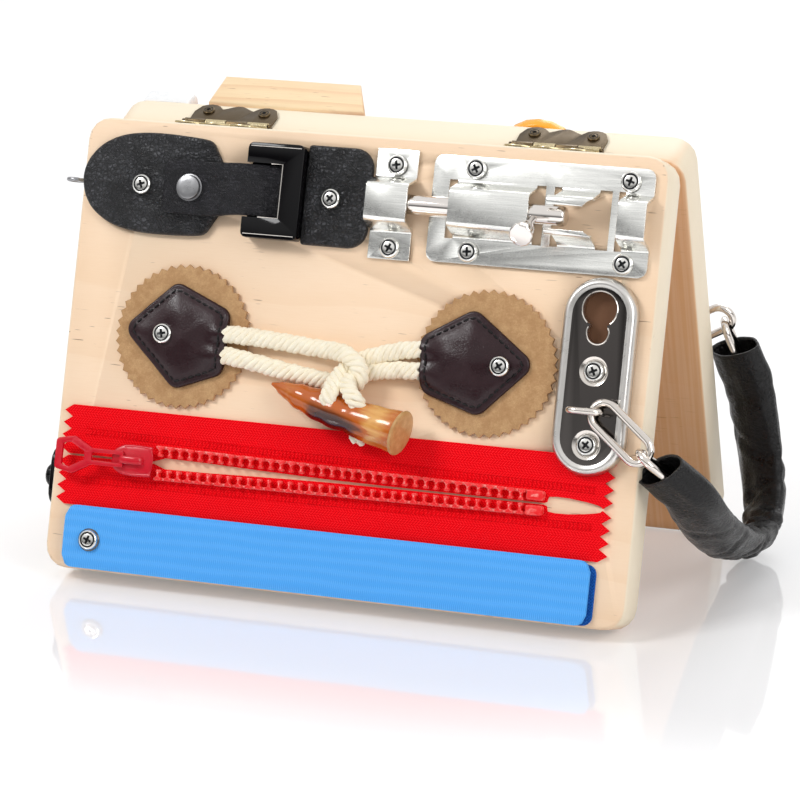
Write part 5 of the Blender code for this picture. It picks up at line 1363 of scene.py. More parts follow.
@dataclass
class SnapStrap(Fitting):
    """Leather pads, the black case with its liner, the strap and its stud."""

    middle: float = -20.75
    pad_low: float = 0.3
    pad_high: float = 2.4
    strap_half: float = 8.45
    sheet_half: float = 1.05
    stud_x: float = -60.4
    corner: float = 2.4
    tongue: tuple[Flat, ...] = (
        (-99.3, 20.4), (-98.1, 15.0), (-94.2, 9.9), (-88.2, 6.3), (-81.0, 4.6), (-72.0, 4.2), (-62.0, 4.7),
        (-56.2, 5.3), (-54.0, 6.4), (-52.4, 8.9), (-49.8, 13.2), (-47.9, 15.6), (-47.4, 18.0), (-47.4, 24.0),
        (-48.0, 26.6), (-50.0, 29.4), (-52.4, 33.4), (-54.0, 35.8), (-56.0, 36.8), (-62.0, 37.3), (-72.0, 37.5),
        (-81.0, 36.9), (-88.4, 34.9), (-94.4, 31.2), (-98.0, 26.2),
    )

    def pucker(self, shape: Shape, x: float, y: float) -> Shape:
        """The pad pulled down round its screw, in small radial folds.

        Args:
            shape: The pad.
            x: Where the screw is.
            y: Where the screw is.

        Returns:
            The pad, pulled down.
        """

        def bend(point: Vector) -> Vector:
            """Lowers one point of the upper side."""
            if point.z < self.pad_low + 0.8:
                return point
            away = math.hypot(point.x - x, point.y - y)
            turn = math.atan2(point.y - y, point.x - x)
            folds = math.sin(turn * 9) * 0.07 * bell(away - 5.5, 3.0)
            uneven = noise.noise(Vector((point.x * 0.22, point.y * 0.22, 3.0))) * 0.14
            return Vector((point.x, point.y, point.z - 0.55 * bell(away, 4.4) + folds + uneven))

        return shape.warped(bend)

    def build(self) -> None:
        """Builds the pads, the case, the strap and the stud."""
        outline = [(p.x, p.y) for p in reversed(smooth_route([(x, -v, 0) for x, v in self.tongue], 1.3, True))]
        if sum(a[0] * b[1] - b[0] * a[1] for a, b in zip(outline, outline[1:] + outline[:1])) < 0:
            outline.reverse()
        right = divided(rounded_box(-20.6, -37.0, 2.0, -4.5, (1.0, 6.5, 6.5, 1.0), 6), 1.3)
        for name, rim, screw_x, rings in (("left", outline, -78.8, 14), ("right", right, -11.0, 12)):
            pad = padded_slab(rim, self.pad_low, self.pad_high, 0.9, 0.35, rings)
            pad = self.pucker(pad, screw_x, self.middle)
            self.put(f"{name}_pad_leather", pad, BLACK_LEATHER, f"buckle_{name}_pad")
        self.dress_node("buckle_case", GLOSS, 0.35)
        self.liner()
        self.strap()
        self.stud()

    def liner(self) -> None:
        """The bright edge inside the case's slot, and thin nickel lines along its rim that paint the highlights of its
        bevelled edges.
        """
        y, half = self.middle, 8.78
        path = [(-34.5, y - half, 6.05), (-27.55, y - half, 6.05), (-27.55, y + half, 6.05), (-31.5, y + half, 6.05)]
        line = wire(path, 0.22, 8)
        # Thin bright wires along the rim: painted highlights of the case's bevelled edges.
        for v in (6.4, 35.1):
            line.join(wire([(-39.2, -v, 6.06), (-30.0, -v, 6.12), (-21.6, -v, 6.06)], 0.13, 8))
        self.put("case_bright_edge", line, NICKEL, slot="gloss_black")

    def strap(self) -> None:
        """The strap, flat over the left pad, then diving into the slot."""
        low, high = local_box("buckle_strap", self.side)
        lie = high.z - self.sheet_half
        knots = [
            (low.x + 0.05, lie), (low.x + 3, lie + 0.05), (-60, lie + 0.05), (-50, lie), (-40, lie - 0.05),
            (-36.6, lie), (-34.2, lie - 0.15), (-32.4, lie - 1.0), (-31.0, low.z + 1.6), (high.x - 0.6, low.z + 1.1),
        ]
        path = smooth_route([(x, self.middle, z) for x, z in knots], 0.8)
        h, t = self.strap_half, self.sheet_half
        full = divided(rounded_box(-h, -t, h, t, (0.5,) * 4, 3), 1.05)

        def section(i: int, share: float) -> list[Flat]:
            """A flat section that narrows at the free end."""
            away = min(path[i].x - low.x, self.corner)
            half = round_cornered(h, away, self.corner)
            thick = 0.55 + 0.45 * min(1.0, away / 0.9)
            return [(x * half / h, y * thick) for x, y in full]

        shape = swept(path, section, side=Vector((0, 1, 0))).warped(self.settle)
        self.put("snap_strap_leather", shape, STRAP_LEATHER, "buckle_strap", Body.SNAP, "black_leather", 50)

    def settle(self, point: Vector) -> Vector:
        """The strap's own unevenness, its free part a little lower and wider than the slot."""
        free = eased(min(1.0, max(0.0, (-41.5 - point.x) / 12.0)))
        uneven = 0.15 * noise.noise(Vector((point.x * 0.25, point.y * 0.25, 9.0)))
        across = (point.y - self.middle) * (1 + 0.055 * free)
        return Vector((point.x, self.middle + across - 0.8 * free, point.z + uneven))

    def stud(self) -> None:
        """The snap's cap: a flat top in a rolled rim."""
        low, _ = local_box("buckle_stud", self.side)
        base, r = low.z - 0.1, 4.15
        profile = [
            (NEAR_ZERO, base), (r + 0.1, base), (r + 0.35, base + 0.25), (r + 0.3, base + 0.5),
            (r - 0.05, base + 0.55), (r - 0.15, base + 0.7), (r - 0.15, base + 1.35), (r - 0.35, base + 1.7),
            (r - 0.8, base + 1.85), (r - 2.0, base + 1.95), (NEAR_ZERO, base + 2.0),
        ]
        shape = lathed(profile, 40).shifted(self.stud_x + 0.8, self.middle - 0.9)
        self.put("snap_stud_cap", shape, GUNMETAL, "buckle_stud", Body.SNAP, sharp=40)


@dataclass
class BarrelBolt(Fitting):
    """The keeper, the pressed plate, the rod and its knob."""

    def build(self) -> None:
        """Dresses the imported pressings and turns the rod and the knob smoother."""
        self.dress_node("bolt_keeper", STEEL, 0.14)
        self.dress_node("bolt_plate", STEEL, 0.14)
        low, high = local_box("bolt_rod", self.side)
        middle = (low + high) / 2
        r, length = (high.y - low.y) / 2, high.x - low.x
        end = [(NEAR_ZERO, 0), (r - 1.1, 0), (r - 0.5, 0.25), (r - 0.1, 0.8), (r, 1.4)]
        profile = end + [(away, length - height) for away, height in reversed(end)]
        turn = Matrix.Translation((low.x, middle.y, middle.z)) @ Matrix.Rotation(math.pi / 2, 4, "Y")
        self.put("bolt_rod_polished", lathed(profile, 48).moved(turn), CHROME, "bolt_rod", Body.ROD)
        self.dress_node("bolt_knob", CHROME, 0.15)


@dataclass
class Toggle(Fitting):
    """Pinked backings, stitched patches, twisted cords and the horn."""

    teeth: int = 44
    radius: float = 23.8
    bite: float = 1.3
    stations: int = 40
    girth: tuple[Flat, ...] = (
        (0.0, 0.5), (0.05, 2.1), (0.12, 3.2), (0.22, 4.4), (0.38, 5.4), (0.6, 6.1), (0.8, 6.6), (1.0, 7.2),
    )

    def build(self) -> None:
        """Builds both anchors, then the horn."""
        for anchor in ANCHORS:
            self.anchor(anchor)
        self.horn()

    def anchor(self, given: Anchor) -> None:
        """One backing with its patch and its stitches.

        Args:
            given: Where they are, and the patch's corners in backing radii.
        """
        name, centre = given.name, given.centre
        rim = []
        for i in range(self.teeth * 4):
            angle = 2 * math.pi * i / (self.teeth * 4)
            depth = (1.0, 0.45, 0.0, 0.45)[i % 4] * self.bite
            reach = self.radius - self.bite + depth
            rim.append((centre[0] + reach * math.cos(angle), centre[1] + reach * math.sin(angle)))
        backing = padded_slab(rim, 0.3, 1.5, 0.18, 0.0, 8)
        self.put(f"{name}_pinked_backing", backing, SUEDE, f"toggle_{name}_backing")
        corners = [(centre[0] + self.radius * x, centre[1] + self.radius * y, 4.2) for x, y in given.corners]
        outline = divided(rounded(corners, 7), 1.2)
        seam = inset(outline, 2.1)
        screw = Vector(given.screw)

        def groove(point: Vector) -> Vector:
            """Sinks the seam's line and the place of the screw."""
            if point.z < 2.2:
                return point
            flat = Vector((point.x, point.y))
            near = min((flat - Vector(p)).length for p in seam)
            sunk = 0.42 * bell(near, 0.85)
            dip = 0.9 * bell((flat - screw).length, 4.6)
            uneven = noise.noise(Vector((point.x * 0.14, point.y * 0.14, 1.0))) * 0.3
            edge = max(0.0, 1 - abs(point.x - given.mouth) / 8.0)
            over = max(bell(point.y - rope, 3.6) for rope in given.ropes)
            lift = 2.1 * eased(edge) * over
            return Vector((point.x, point.y, point.z - sunk * (1 - over * edge) - dip + uneven + lift))

        patch = padded_slab(outline, 1.5, 3.2, 0.9, 2.4, 18).warped(groove)
        piece = self.put(f"{name}_leather_patch", patch, BROWN_LEATHER, f"toggle_{name}_patch")
        line = [groove(Vector((x, y, 3.75))) for x, y in seam]
        thread = stitches([*line, line[0]], 2.5, 1.7, 0.36)
        self.put(f"{name}_patch_stitches", thread, THREAD, slot="brown_leather")

    def horn(self) -> None:
        """The horn, its cut end turned to the right."""
        tip, end = Vector((-23.0, -83.2, 4.2)), Vector((23.0, -94.8, 9.6))
        along = (end - tip).normalized()
        path = []
        for i in range(self.stations):
            share = i / (self.stations - 1)
            bow = math.sin(math.pi * share)
            path.append(tip.lerp(end, share) + Vector((0, -bow, bow)))
        path[0] -= along * 1.2

        def section(i: int, share: float) -> list[Flat]:
            """An oval section: pointed at the tip, waisted where the cords hold it."""
            full = along_table(self.girth, share)
            waist = bell(share - 0.60, 0.07) * 0.7
            ragged = 0.10 * math.sin(share * 41.0)
            return disc(full - waist + ragged, 28, 0.94)

        body = swept(path, section)
        rim = [(7.5, -0.05), (7.3, 0.35), (6.7, 0.6), (4.5, 0.75), (2.0, 0.72), (NEAR_ZERO, 0.7)]
        turn = Matrix.Translation(end) @ along.to_track_quat("Z", "Y").to_matrix().to_4x4()
        cap = lathed([(NEAR_ZERO, -0.4), (7.35, -0.4), *rim], 28).moved(turn)
        origin = tip.lerp(end, 0.56)
        spin = Matrix.Translation(origin) @ along.to_track_quat("X", "Z").to_matrix().to_4x4()
        self.put_turned("toggle_horn_polished", body, spin, HORN, "toggle_horn")
        self.put_turned("toggle_horn_cut_end", cap, spin, HORN_END, "")

    def put_turned(self, name: str, shape: Shape, spin: Matrix, finish: Finish, node: str) -> None:
        """Makes a piece whose own x runs along the horn, so that the streaks follow it."""
        piece = self.put(name, shape.moved(spin.inverted()), finish, node, Body.HORN, "amber_horn")
        metres = spin.copy()
        metres.translation = spin.translation * MM
        piece.matrix_world = self.side.matrix @ metres


@dataclass
class Cords(Fitting):
    """The free cords: twisted ropes of the toggle and the soft sleeve over the chain."""

    strands: int = 4
    twist: float = 9.0
    sleeve_sides: int = 56
    sleeve_wall: float = 0.7
    breadth: tuple[Flat, ...] = (
        (0.0, 9.8), (0.1, 9.6), (0.3, 9.3), (0.5, 8.9), (0.6, 9.4), (0.75, 10.4), (0.9, 9.9), (1.0, 9.7),
    )
    depth: tuple[Flat, ...] = (
        (0.0, 5.6), (0.1, 5.4), (0.3, 4.9), (0.5, 4.6), (0.6, 4.8), (0.75, 4.9), (0.88, 6.0), (1.0, 6.2),
    )
    folds: tuple[Place, ...] = (
        (0.20, 0.02, 0.5), (0.33, -0.03, 0.8), (0.42, 0.03, 1.3), (0.49, -0.02, 1.7), (0.545, 0.03, 1.5),
        (0.60, -0.03, 1.3), (0.68, 0.03, 0.9), (0.79, -0.04, 0.7), (0.89, 0.02, 0.5),
    )

    def rope(self, name: str, node: str, knots: Sequence[Place], wide: float, tall: float) -> None:
        """A flattened rope on a route over the front face.

        Args:
            name: The piece's name.
            node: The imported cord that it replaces.
            knots: The route's points (u, v, h), in millimetres.
            wide: Half its width along the face, in millimetres.
            tall: Half its height off the face.
        """
        path = smooth_route([(u, -v, h) for u, v, h in knots], 0.5)
        last = len(path) - 1
        shape = Shape([], [])
        for k in range(self.strands):
            line = []
            for i, point in enumerate(path):
                along = (path[min(i + 1, last)] - path[max(i - 1, 0)]).normalized()
                side = along.cross(Vector((0, 0, 1))).normalized()
                turn = 2 * math.pi * (k / self.strands + i * 0.5 / self.twist)
                off = side * math.cos(turn) * (wide - tall * 0.54) + side.cross(along) * math.sin(turn) * tall * 0.46
                line.append(point + off)
            shape.join(swept(line, lambda i, share: self.yarn(i, k, tall), False, True))
        piece = self.put(name, shape, ROPE, node, sharp=60)
        metres = [self.side.matrix @ (p * MM) for p in path]
        length = line_length(metres)
        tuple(metres[0])
        [tuple(p) for p in metres]
        log.info("%s is %.0f mm long", name, length / MM)

    def yarn(self, i: int, k: int, radius: float) -> list[Flat]:
        """A lumpy round section of one strand."""
        swell = 1 + 0.10 * math.sin(i * 0.9 + k * 2.0) + 0.06 * math.sin(i * 2.3 + k)
        return disc(radius * 0.56 * swell, 10)

    def build(self) -> None:
        """Builds the three ropes and the sleeve."""
        self.rope("loop_rope", "toggle_loop_cord", LOOP_ROUTE, 3.0, 2.1)
        for end, route in (("upper", TIE_UPPER_ROUTE), ("lower", TIE_LOWER_ROUTE)):
            self.rope(f"tie_rope_{end}", f"toggle_tie_cord_{end}", route, 2.9, 1.9)
        self.sleeve()

    def sleeve(self) -> None:
        """The soft sleeve: flattened, creased where it bends, open at both mouths."""
        path = smooth_route(SLEEVE_ROUTE, 1.1)

        def section(i: int, share: float) -> list[Flat]:
            """A flattened section, folded where the sleeve bends."""
            wide, flat = along_table(self.breadth, share), along_table(self.depth, share)
            points = []
            for k in range(self.sleeve_sides):
                turn = 2 * math.pi * k / self.sleeve_sides
                x, y = math.cos(turn), math.sin(turn)
                lift = abs(y) ** 1.15 * math.copysign(1, y)
                spot = Vector((share * 7.0, x * 1.3, y * 1.3))
                relief = noise.noise(spot) * 1.1 + noise.noise(spot * 2.3) * 0.5
                for at, slant, deep in self.folds:
                    off = abs(share - at - slant * x)
                    relief -= deep * math.exp(-off / 0.010) - deep * 0.45 * bell(off - 0.022, 0.012)
                near_mouth = min(share, 1 - share) / 0.06
                relief *= min(1.0, 0.2 + near_mouth)
                seam = 0.5 * bell(turn - 5.6, 0.09)
                points.append((x * (wide + relief * 0.4), lift * flat + y * (relief - seam)))
            return points

        skin = swept(path, section, caps=False, side=Vector((0.72, -0.45, 0.52)))
        mesh = skin.mesh("chain_sleeve_soft", 60)
        mesh.materials.append(SLEEVE.material())
        piece = placed("chain_sleeve_soft", mesh)
        wall = piece.modifiers.new("Wall", "SOLIDIFY")
        wall.thickness = self.sleeve_wall * MM
        wall.offset = -1
        metres = [p * MM for p in path]
        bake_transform(piece)
        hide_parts("chain_sleeve")
        length = line_length(metres)
        log.info("chain_sleeve_soft is %.0f mm long", length / MM)


@dataclass
class Zip(Fitting):
    """Pinked tapes, moulded teeth, the slider and its pull."""

    upper_edge: float = -112.1
    gap: float = 0.6
    width: float = 16.2
    left: float = -97.5
    right: float = 92.5
    pitch: float = 4.1
    depth: float = 3.0
    lens_start: float = 71.2
    tooth_pitch: float = 3.55
    tooth_count: int = 36
    teeth_start: float = -63.0
    spread_left: float = 7.1
    spread_right: float = 3.7
    teeth_low: float = 1.3
    tape_low: float = 0.38
    tape_high: float = 1.0
    grid: float = 2.2
    stitch_pitch: float = 1.35
    seam_start: int = -26
    slider_stations: int = 22
    slider_sides: int = 24
    inner_edge: tuple[Flat, ...] = (
        (-64.0, 0.1), (-60.0, 1.5), (-45.0, 1.3), (-25.0, 0.7), (-5.0, 0.2), (20.0, 0.0),
    )
    slot: tuple[Flat, ...] = ((0.0, 0.4), (0.02, 2.0), (0.15, 2.3), (0.4, 2.2), (0.7, 1.6), (0.9, 1.0), (0.97, 0.6))
    tooth_plan: tuple[Place, ...] = (
        (-1.15, 0.95, 0.3), (-1.15, -0.05, 0.3), (-0.55, -0.4, 0.2), (-0.48, -1.5, 0.2), (-0.82, -1.95, 0.3),
        (-0.72, -2.7, 0.4), (0.72, -2.7, 0.4), (0.82, -1.95, 0.3), (0.48, -1.5, 0.2), (0.55, -0.4, 0.2),
        (1.15, -0.05, 0.3), (1.15, 0.95, 0.3),
    )
    cheek: tuple[Place, ...] = ((0.30, 4.3, 0.8), (0.5, 4.6, 0.75), (0.75, 4.55, 0.75), (0.97, 4.3, 0.8))
    arch: tuple[Flat, ...] = (
        (0.22, 1.1), (0.24, 2.2), (0.32, 3.0), (0.5, 3.25), (0.68, 3.1), (0.76, 2.2), (0.80, 1.0),
    )

    @property
    def run(self) -> float:
        """The length of a row of teeth."""
        return self.tooth_pitch * self.tooth_count

    @property
    def middle(self) -> float:
        """The height of the line between the tapes."""
        return self.upper_edge - self.gap / 2

    def build(self) -> None:
        """Builds both halves, then the slider."""
        for sign, name in ((1, "upper"), (-1, "lower")):
            self.tape(sign, name)
            self.row(sign, name)
            self.seams(sign, name)
        self.slider()
        self.dress_node("zip_pull", RED_GLOSS, 0.22)

    def pinked(self, x: float, start: float, end: float, outward: float) -> list[Flat]:
        """Bites along a cut end, from one height to another."""
        count = max(2, round(abs(end - start) / self.pitch))
        points = []
        for i in range(count):
            points.append((x, start + (end - start) * i / count))
            points.append((x + outward * self.depth, start + (end - start) * (i + 0.5) / count))
        return [*points, (x, end)]

    def tape(self, sign: int, name: str) -> None:
        """One woven tape, gently uneven away from its inner edge.

        Args:
            sign: 1 for the upper tape, -1 for the lower.
            name: Its name.
        """
        left, right = self.left + self.depth, self.right - self.depth
        span = right - self.lens_start
        inner = [(left, 0.0), *self.inner_edge, (self.lens_start - 1, 0.0)]
        inner += [(self.lens_start + span * share, high) for share, high in self.slot]
        outline = inner + self.pinked(right, 0.0, self.width, 1.0) + self.pinked(left, self.width, 0.0, -1.0)[:-1]
        outline = divided(outline, 1.8)
        drawn = [(x, self.middle + sign * (self.gap / 2 + y)) for x, y in outline]
        if sign < 0:
            drawn.reverse()
        lowest = min(y for _, y in drawn)
        cell = self.grid
        grid = [Vector((left + cell * i, lowest + cell / 2 + cell * k)) for i in range(1, 84) for k in range(7)]
        edges = [(i, (i + 1) % len(drawn)) for i in range(len(drawn))]
        flat, _, faces, *_ = geometry.delaunay_2d_cdt([*(Vector(p) for p in drawn), *grid], edges, [], 1, 1e-4)
        used = sorted({i for face in faces for i in face})
        place = {old: new for new, old in enumerate(used)}
        faces = [tuple(place[i] for i in face) for face in faces]
        points = []
        for point in (flat[i] for i in used):
            ripple = noise.noise(Vector((point.x * 0.06, point.y * 0.16, 5.0))) * 0.16
            ripple += 0.12 * math.sin(point.x * 0.21)
            edge = abs(point.y - self.middle) / self.width
            lift = ripple * min(1.0, max(0.0, (edge - 0.35) * 2))
            points.append(Vector((point.x, point.y, self.tape_high + lift)))
        count = len(points)
        sides = {(a, b) for face in faces for a, b in zip(face, (*face[1:], face[0]))}
        walls = [(b, a, a + count, b + count) for a, b in sides if (b, a) not in sides]
        under = [tuple(i + count for i in reversed(face)) for face in faces]
        shape = Shape([*points, *(Vector((p.x, p.y, self.tape_low)) for p in points)], [*faces, *under, *walls])
        tape = self.put(f"zip_{name}_woven_tape", shape, RED_TAPE, f"zip_{name}_tape", sharp=40)
        flat = (self.width * MM, (self.right - self.left) * MM)

    def row_matrix(self, sign: int) -> Matrix:
        """The frame of one row of teeth: x along it, heads towards -y for the upper row."""
        slope = math.atan((self.spread_left - self.spread_right) / 2 / self.run)
        lift = self.spread_left / 2 + 1.25
        place = Matrix.Translation((self.teeth_start, self.middle + sign * lift, self.teeth_low))
        return place @ Matrix.Rotation(-sign * slope, 4, "Z") @ Matrix.Scale(sign, 4, (0, 1, 0))

    def row(self, sign: int, name: str) -> None:
        """One row of moulded teeth, clamped on a cord, with its end stop.

        Args:
            sign: 1 for the upper row, -1 for the lower.
            name: Its name.
        """
        tooth = padded_slab(rounded(self.tooth_plan, 2), 0.0, 2.0, 0.42, 0.12, 2)
        row = Shape([], [])
        for i in range(self.tooth_count):
            row.join(tooth.shifted(self.tooth_pitch * (i + 0.5), 0))
        end = self.run
        row.join(wire([(x, 0.4, 0.35) for x in (0.0, end * 0.5, end + 2.0)], 0.5, 12))
        stop = rounded_box(end, -2.3, end + 5.8, 1.0, (0.7, 0.9, 0.9, 0.5), 3)
        row.join(padded_slab(stop, 0.0, 2.1, 0.5, 0.1, 3))
        shape = row.moved(self.row_matrix(sign))
        self.put(f"zip_{name}_moulded_teeth", shape, RED_TEETH, f"zip_{name}_teeth", sharp=40)

    def seams(self, sign: int, name: str) -> None:
        """The ladder of stitches beside a row: two lines of thread with rungs between them."""
        thread = Shape([], [])
        end, pitch, first = self.run - self.seam_start, self.stitch_pitch, self.seam_start + 2
        for y in (1.9, 4.0):
            line = [Vector((x, y, -0.22)) for x in range(self.seam_start, int(end), 4)]
            thread.join(stitches(line, pitch, 1.05, 0.13))
        for i in range(int((end - first) / pitch)):
            x = first + i * pitch
            thread.join(wire([(x, 2.0, -0.24), (x + 0.4, 2.95, -0.16), (x, 3.9, -0.24)], 0.12, 5))
        shape = thread.moved(self.row_matrix(sign))
        low = self.left + self.depth + 1.0
        keep = [face for face in shape.faces if low < shape.points[face[0]].x < self.right - self.depth - 2.5]
        self.put(f"zip_{name}_ladder_stitches", Shape(shape.points, keep), RED_THREAD, slot="red_tape")

    def slider(self) -> None:
        """The slider: rounded wings, a raised spine, its lug, and the post between the tapes."""
        low, high = local_box("zip_slider", self.side)
        low.x += 1.6
        length, base = high.x - low.x - 1.4, self.teeth_low + 2.3
        rings = []
        for i in range(self.slider_stations + 1):
            share = i / self.slider_stations
            rings.append(self.slider_ring(share, low.x + length * share, base))
        body = lofted(rings)
        for sign in (1, -1):
            path = [(low.x + length * s, self.middle + sign * h, base + d) for s, h, d in self.cheek]
            body.join(wire(smooth_route(path, 0.8), 0.62, 10))
        lug = smooth_route([(low.x + length * s, self.middle, base + z) for s, z in self.arch], 0.6)
        oval = [(x * 1.3, y * 0.48) for x, y in disc(1.0, 14)]
        body.join(swept(lug, lambda *_: oval, side=Vector((0, 1, 0))))
        post = low.x + length * 0.6
        body.join(wire([(post, self.middle, 1.2), (post, self.middle, base + 0.4)], 0.3, 10))
        self.put("zip_slider_moulded", body, RED_GLOSS, "zip_slider", Body.SLIDER, sharp=50)

    def slider_ring(self, share: float, x: float, base: float) -> list[Vector]:
        """One section of the slider's body: a rounded box with a ridge along its top.

        Args:
            share: How far along the slider it is.
            x: Where it is on the face.
            base: The height of the slider's underside.

        Returns:
            The section's points.
        """
        if share < 0.36:
            half = 2.6 + 2.45 * math.sin(share / 0.36 * math.pi / 2)
        else:
            half = 5.05 - 0.3 * (share - 0.36)
        nose = min(1.0, math.sqrt(max(0.0, min(share, 1 - share) / 0.07)))
        half *= 0.45 + 0.55 * nose
        top = 1.5 * (0.35 + 0.65 * nose) + 0.25 * math.sin(share * math.pi)
        spine = 0.55 * bell(share - 0.5, 0.3)
        ring = []
        for c, s in disc(1.0, self.slider_sides):
            y = half * math.copysign(abs(c) ** 0.55, c)
            z = top * math.copysign(abs(s) ** 0.7, s)
            z = z * 0.5 if z > 0 else z * 0.45
            z += spine * bell(y, 1.9) * (s > 0)
            ring.append(Vector((x, self.middle + y, base + 0.66 + z)))
        return ring


@dataclass
class HookStrap(Fitting):
    """The dark hook tape on the wood and the light strap that peels from it."""

    top: float = -129.8
    bottom: float = -149.4
    overlap: float = 1.0
    corner: float = 3.5
    stations: int = 150
    sheet_low: float = 1.85
    sheet_high: float = 3.05

    def build(self) -> None:
        """Builds both tapes."""
        self.hooks()
        self.loops()

    def hooks(self) -> None:
        """The hook tape, with the tufts that show past the strap's end."""
        rim = rounded_box(-91.9, self.bottom + 0.1, 89.6, self.top - 0.1, (3.2,) * 4, 5)
        base = padded_slab(divided(rim, 3.0), 0.3, 1.15, 0.2, 0.0, 3)
        tape = self.put("hook_tape_woven", base, DARK_BLUE, "strap_hook_tape")
        tufts = Shape([], [])
        draw = random.Random(7)
        for column in range(4):
            for i in range(17):
                x = 86.2 + column * 0.95 + draw.uniform(-0.2, 0.2)
                y = self.bottom + 1.6 + i * 1.02 + draw.uniform(-0.2, 0.2)
                lean = draw.uniform(-0.25, 0.25)
                tufts.join(wire([(x, y, 1.0), (x + lean, y, 1.55), (x + lean + 0.25, y, 1.75)], 0.13, 5))
        self.put("hook_tape_hooks", tufts, DARK_BLUE)

    def loops(self) -> None:
        """The loop strap in one piece, glued at its left end."""
        left, right = -92.4, 88.0
        half = (self.top + self.overlap - self.bottom) / 2
        mid = (self.top + self.overlap + self.bottom) / 2
        rings = []
        for i in range(self.stations + 1):
            x = left + (right - left) * i / self.stations
            wide = round_cornered(half, min(x - left, right - x), self.corner)
            across = [-wide + 2 * wide * k / 20 for k in range(21)]
            ring = []
            for y in across:
                wave = 0.10 * math.sin(x * 0.13 + 0.6) * math.sin(y * 0.3 + 1.0)
                wave += 0.22 * noise.noise(Vector((x * 0.05, y * 0.1, 2.0)))
                selvedge = 0.16 * bell(abs(y) - half + 1.0, 0.55)
                edge = 0.3 * max(0.0, 1 - (wide - abs(y)) / 0.5) ** 2
                ring.append(Vector((x, mid + y, self.sheet_high + wave - selvedge - edge)))
            ring += [Vector((x, mid + y, self.sheet_low)) for y in reversed(across)]
            rings.append(ring)
        strap = self.put("loop_strap_woven", lofted(rings), LIGHT_BLUE, sharp=50)
        start = self.side.matrix @ (Vector((-81.5, mid, 2.4)) * MM)
        end = self.side.matrix @ (Vector((-73.5, mid, 2.4)) * MM)
        strap.parent = None
        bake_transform(strap)
        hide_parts("strap_root", "strap_loop_tape")


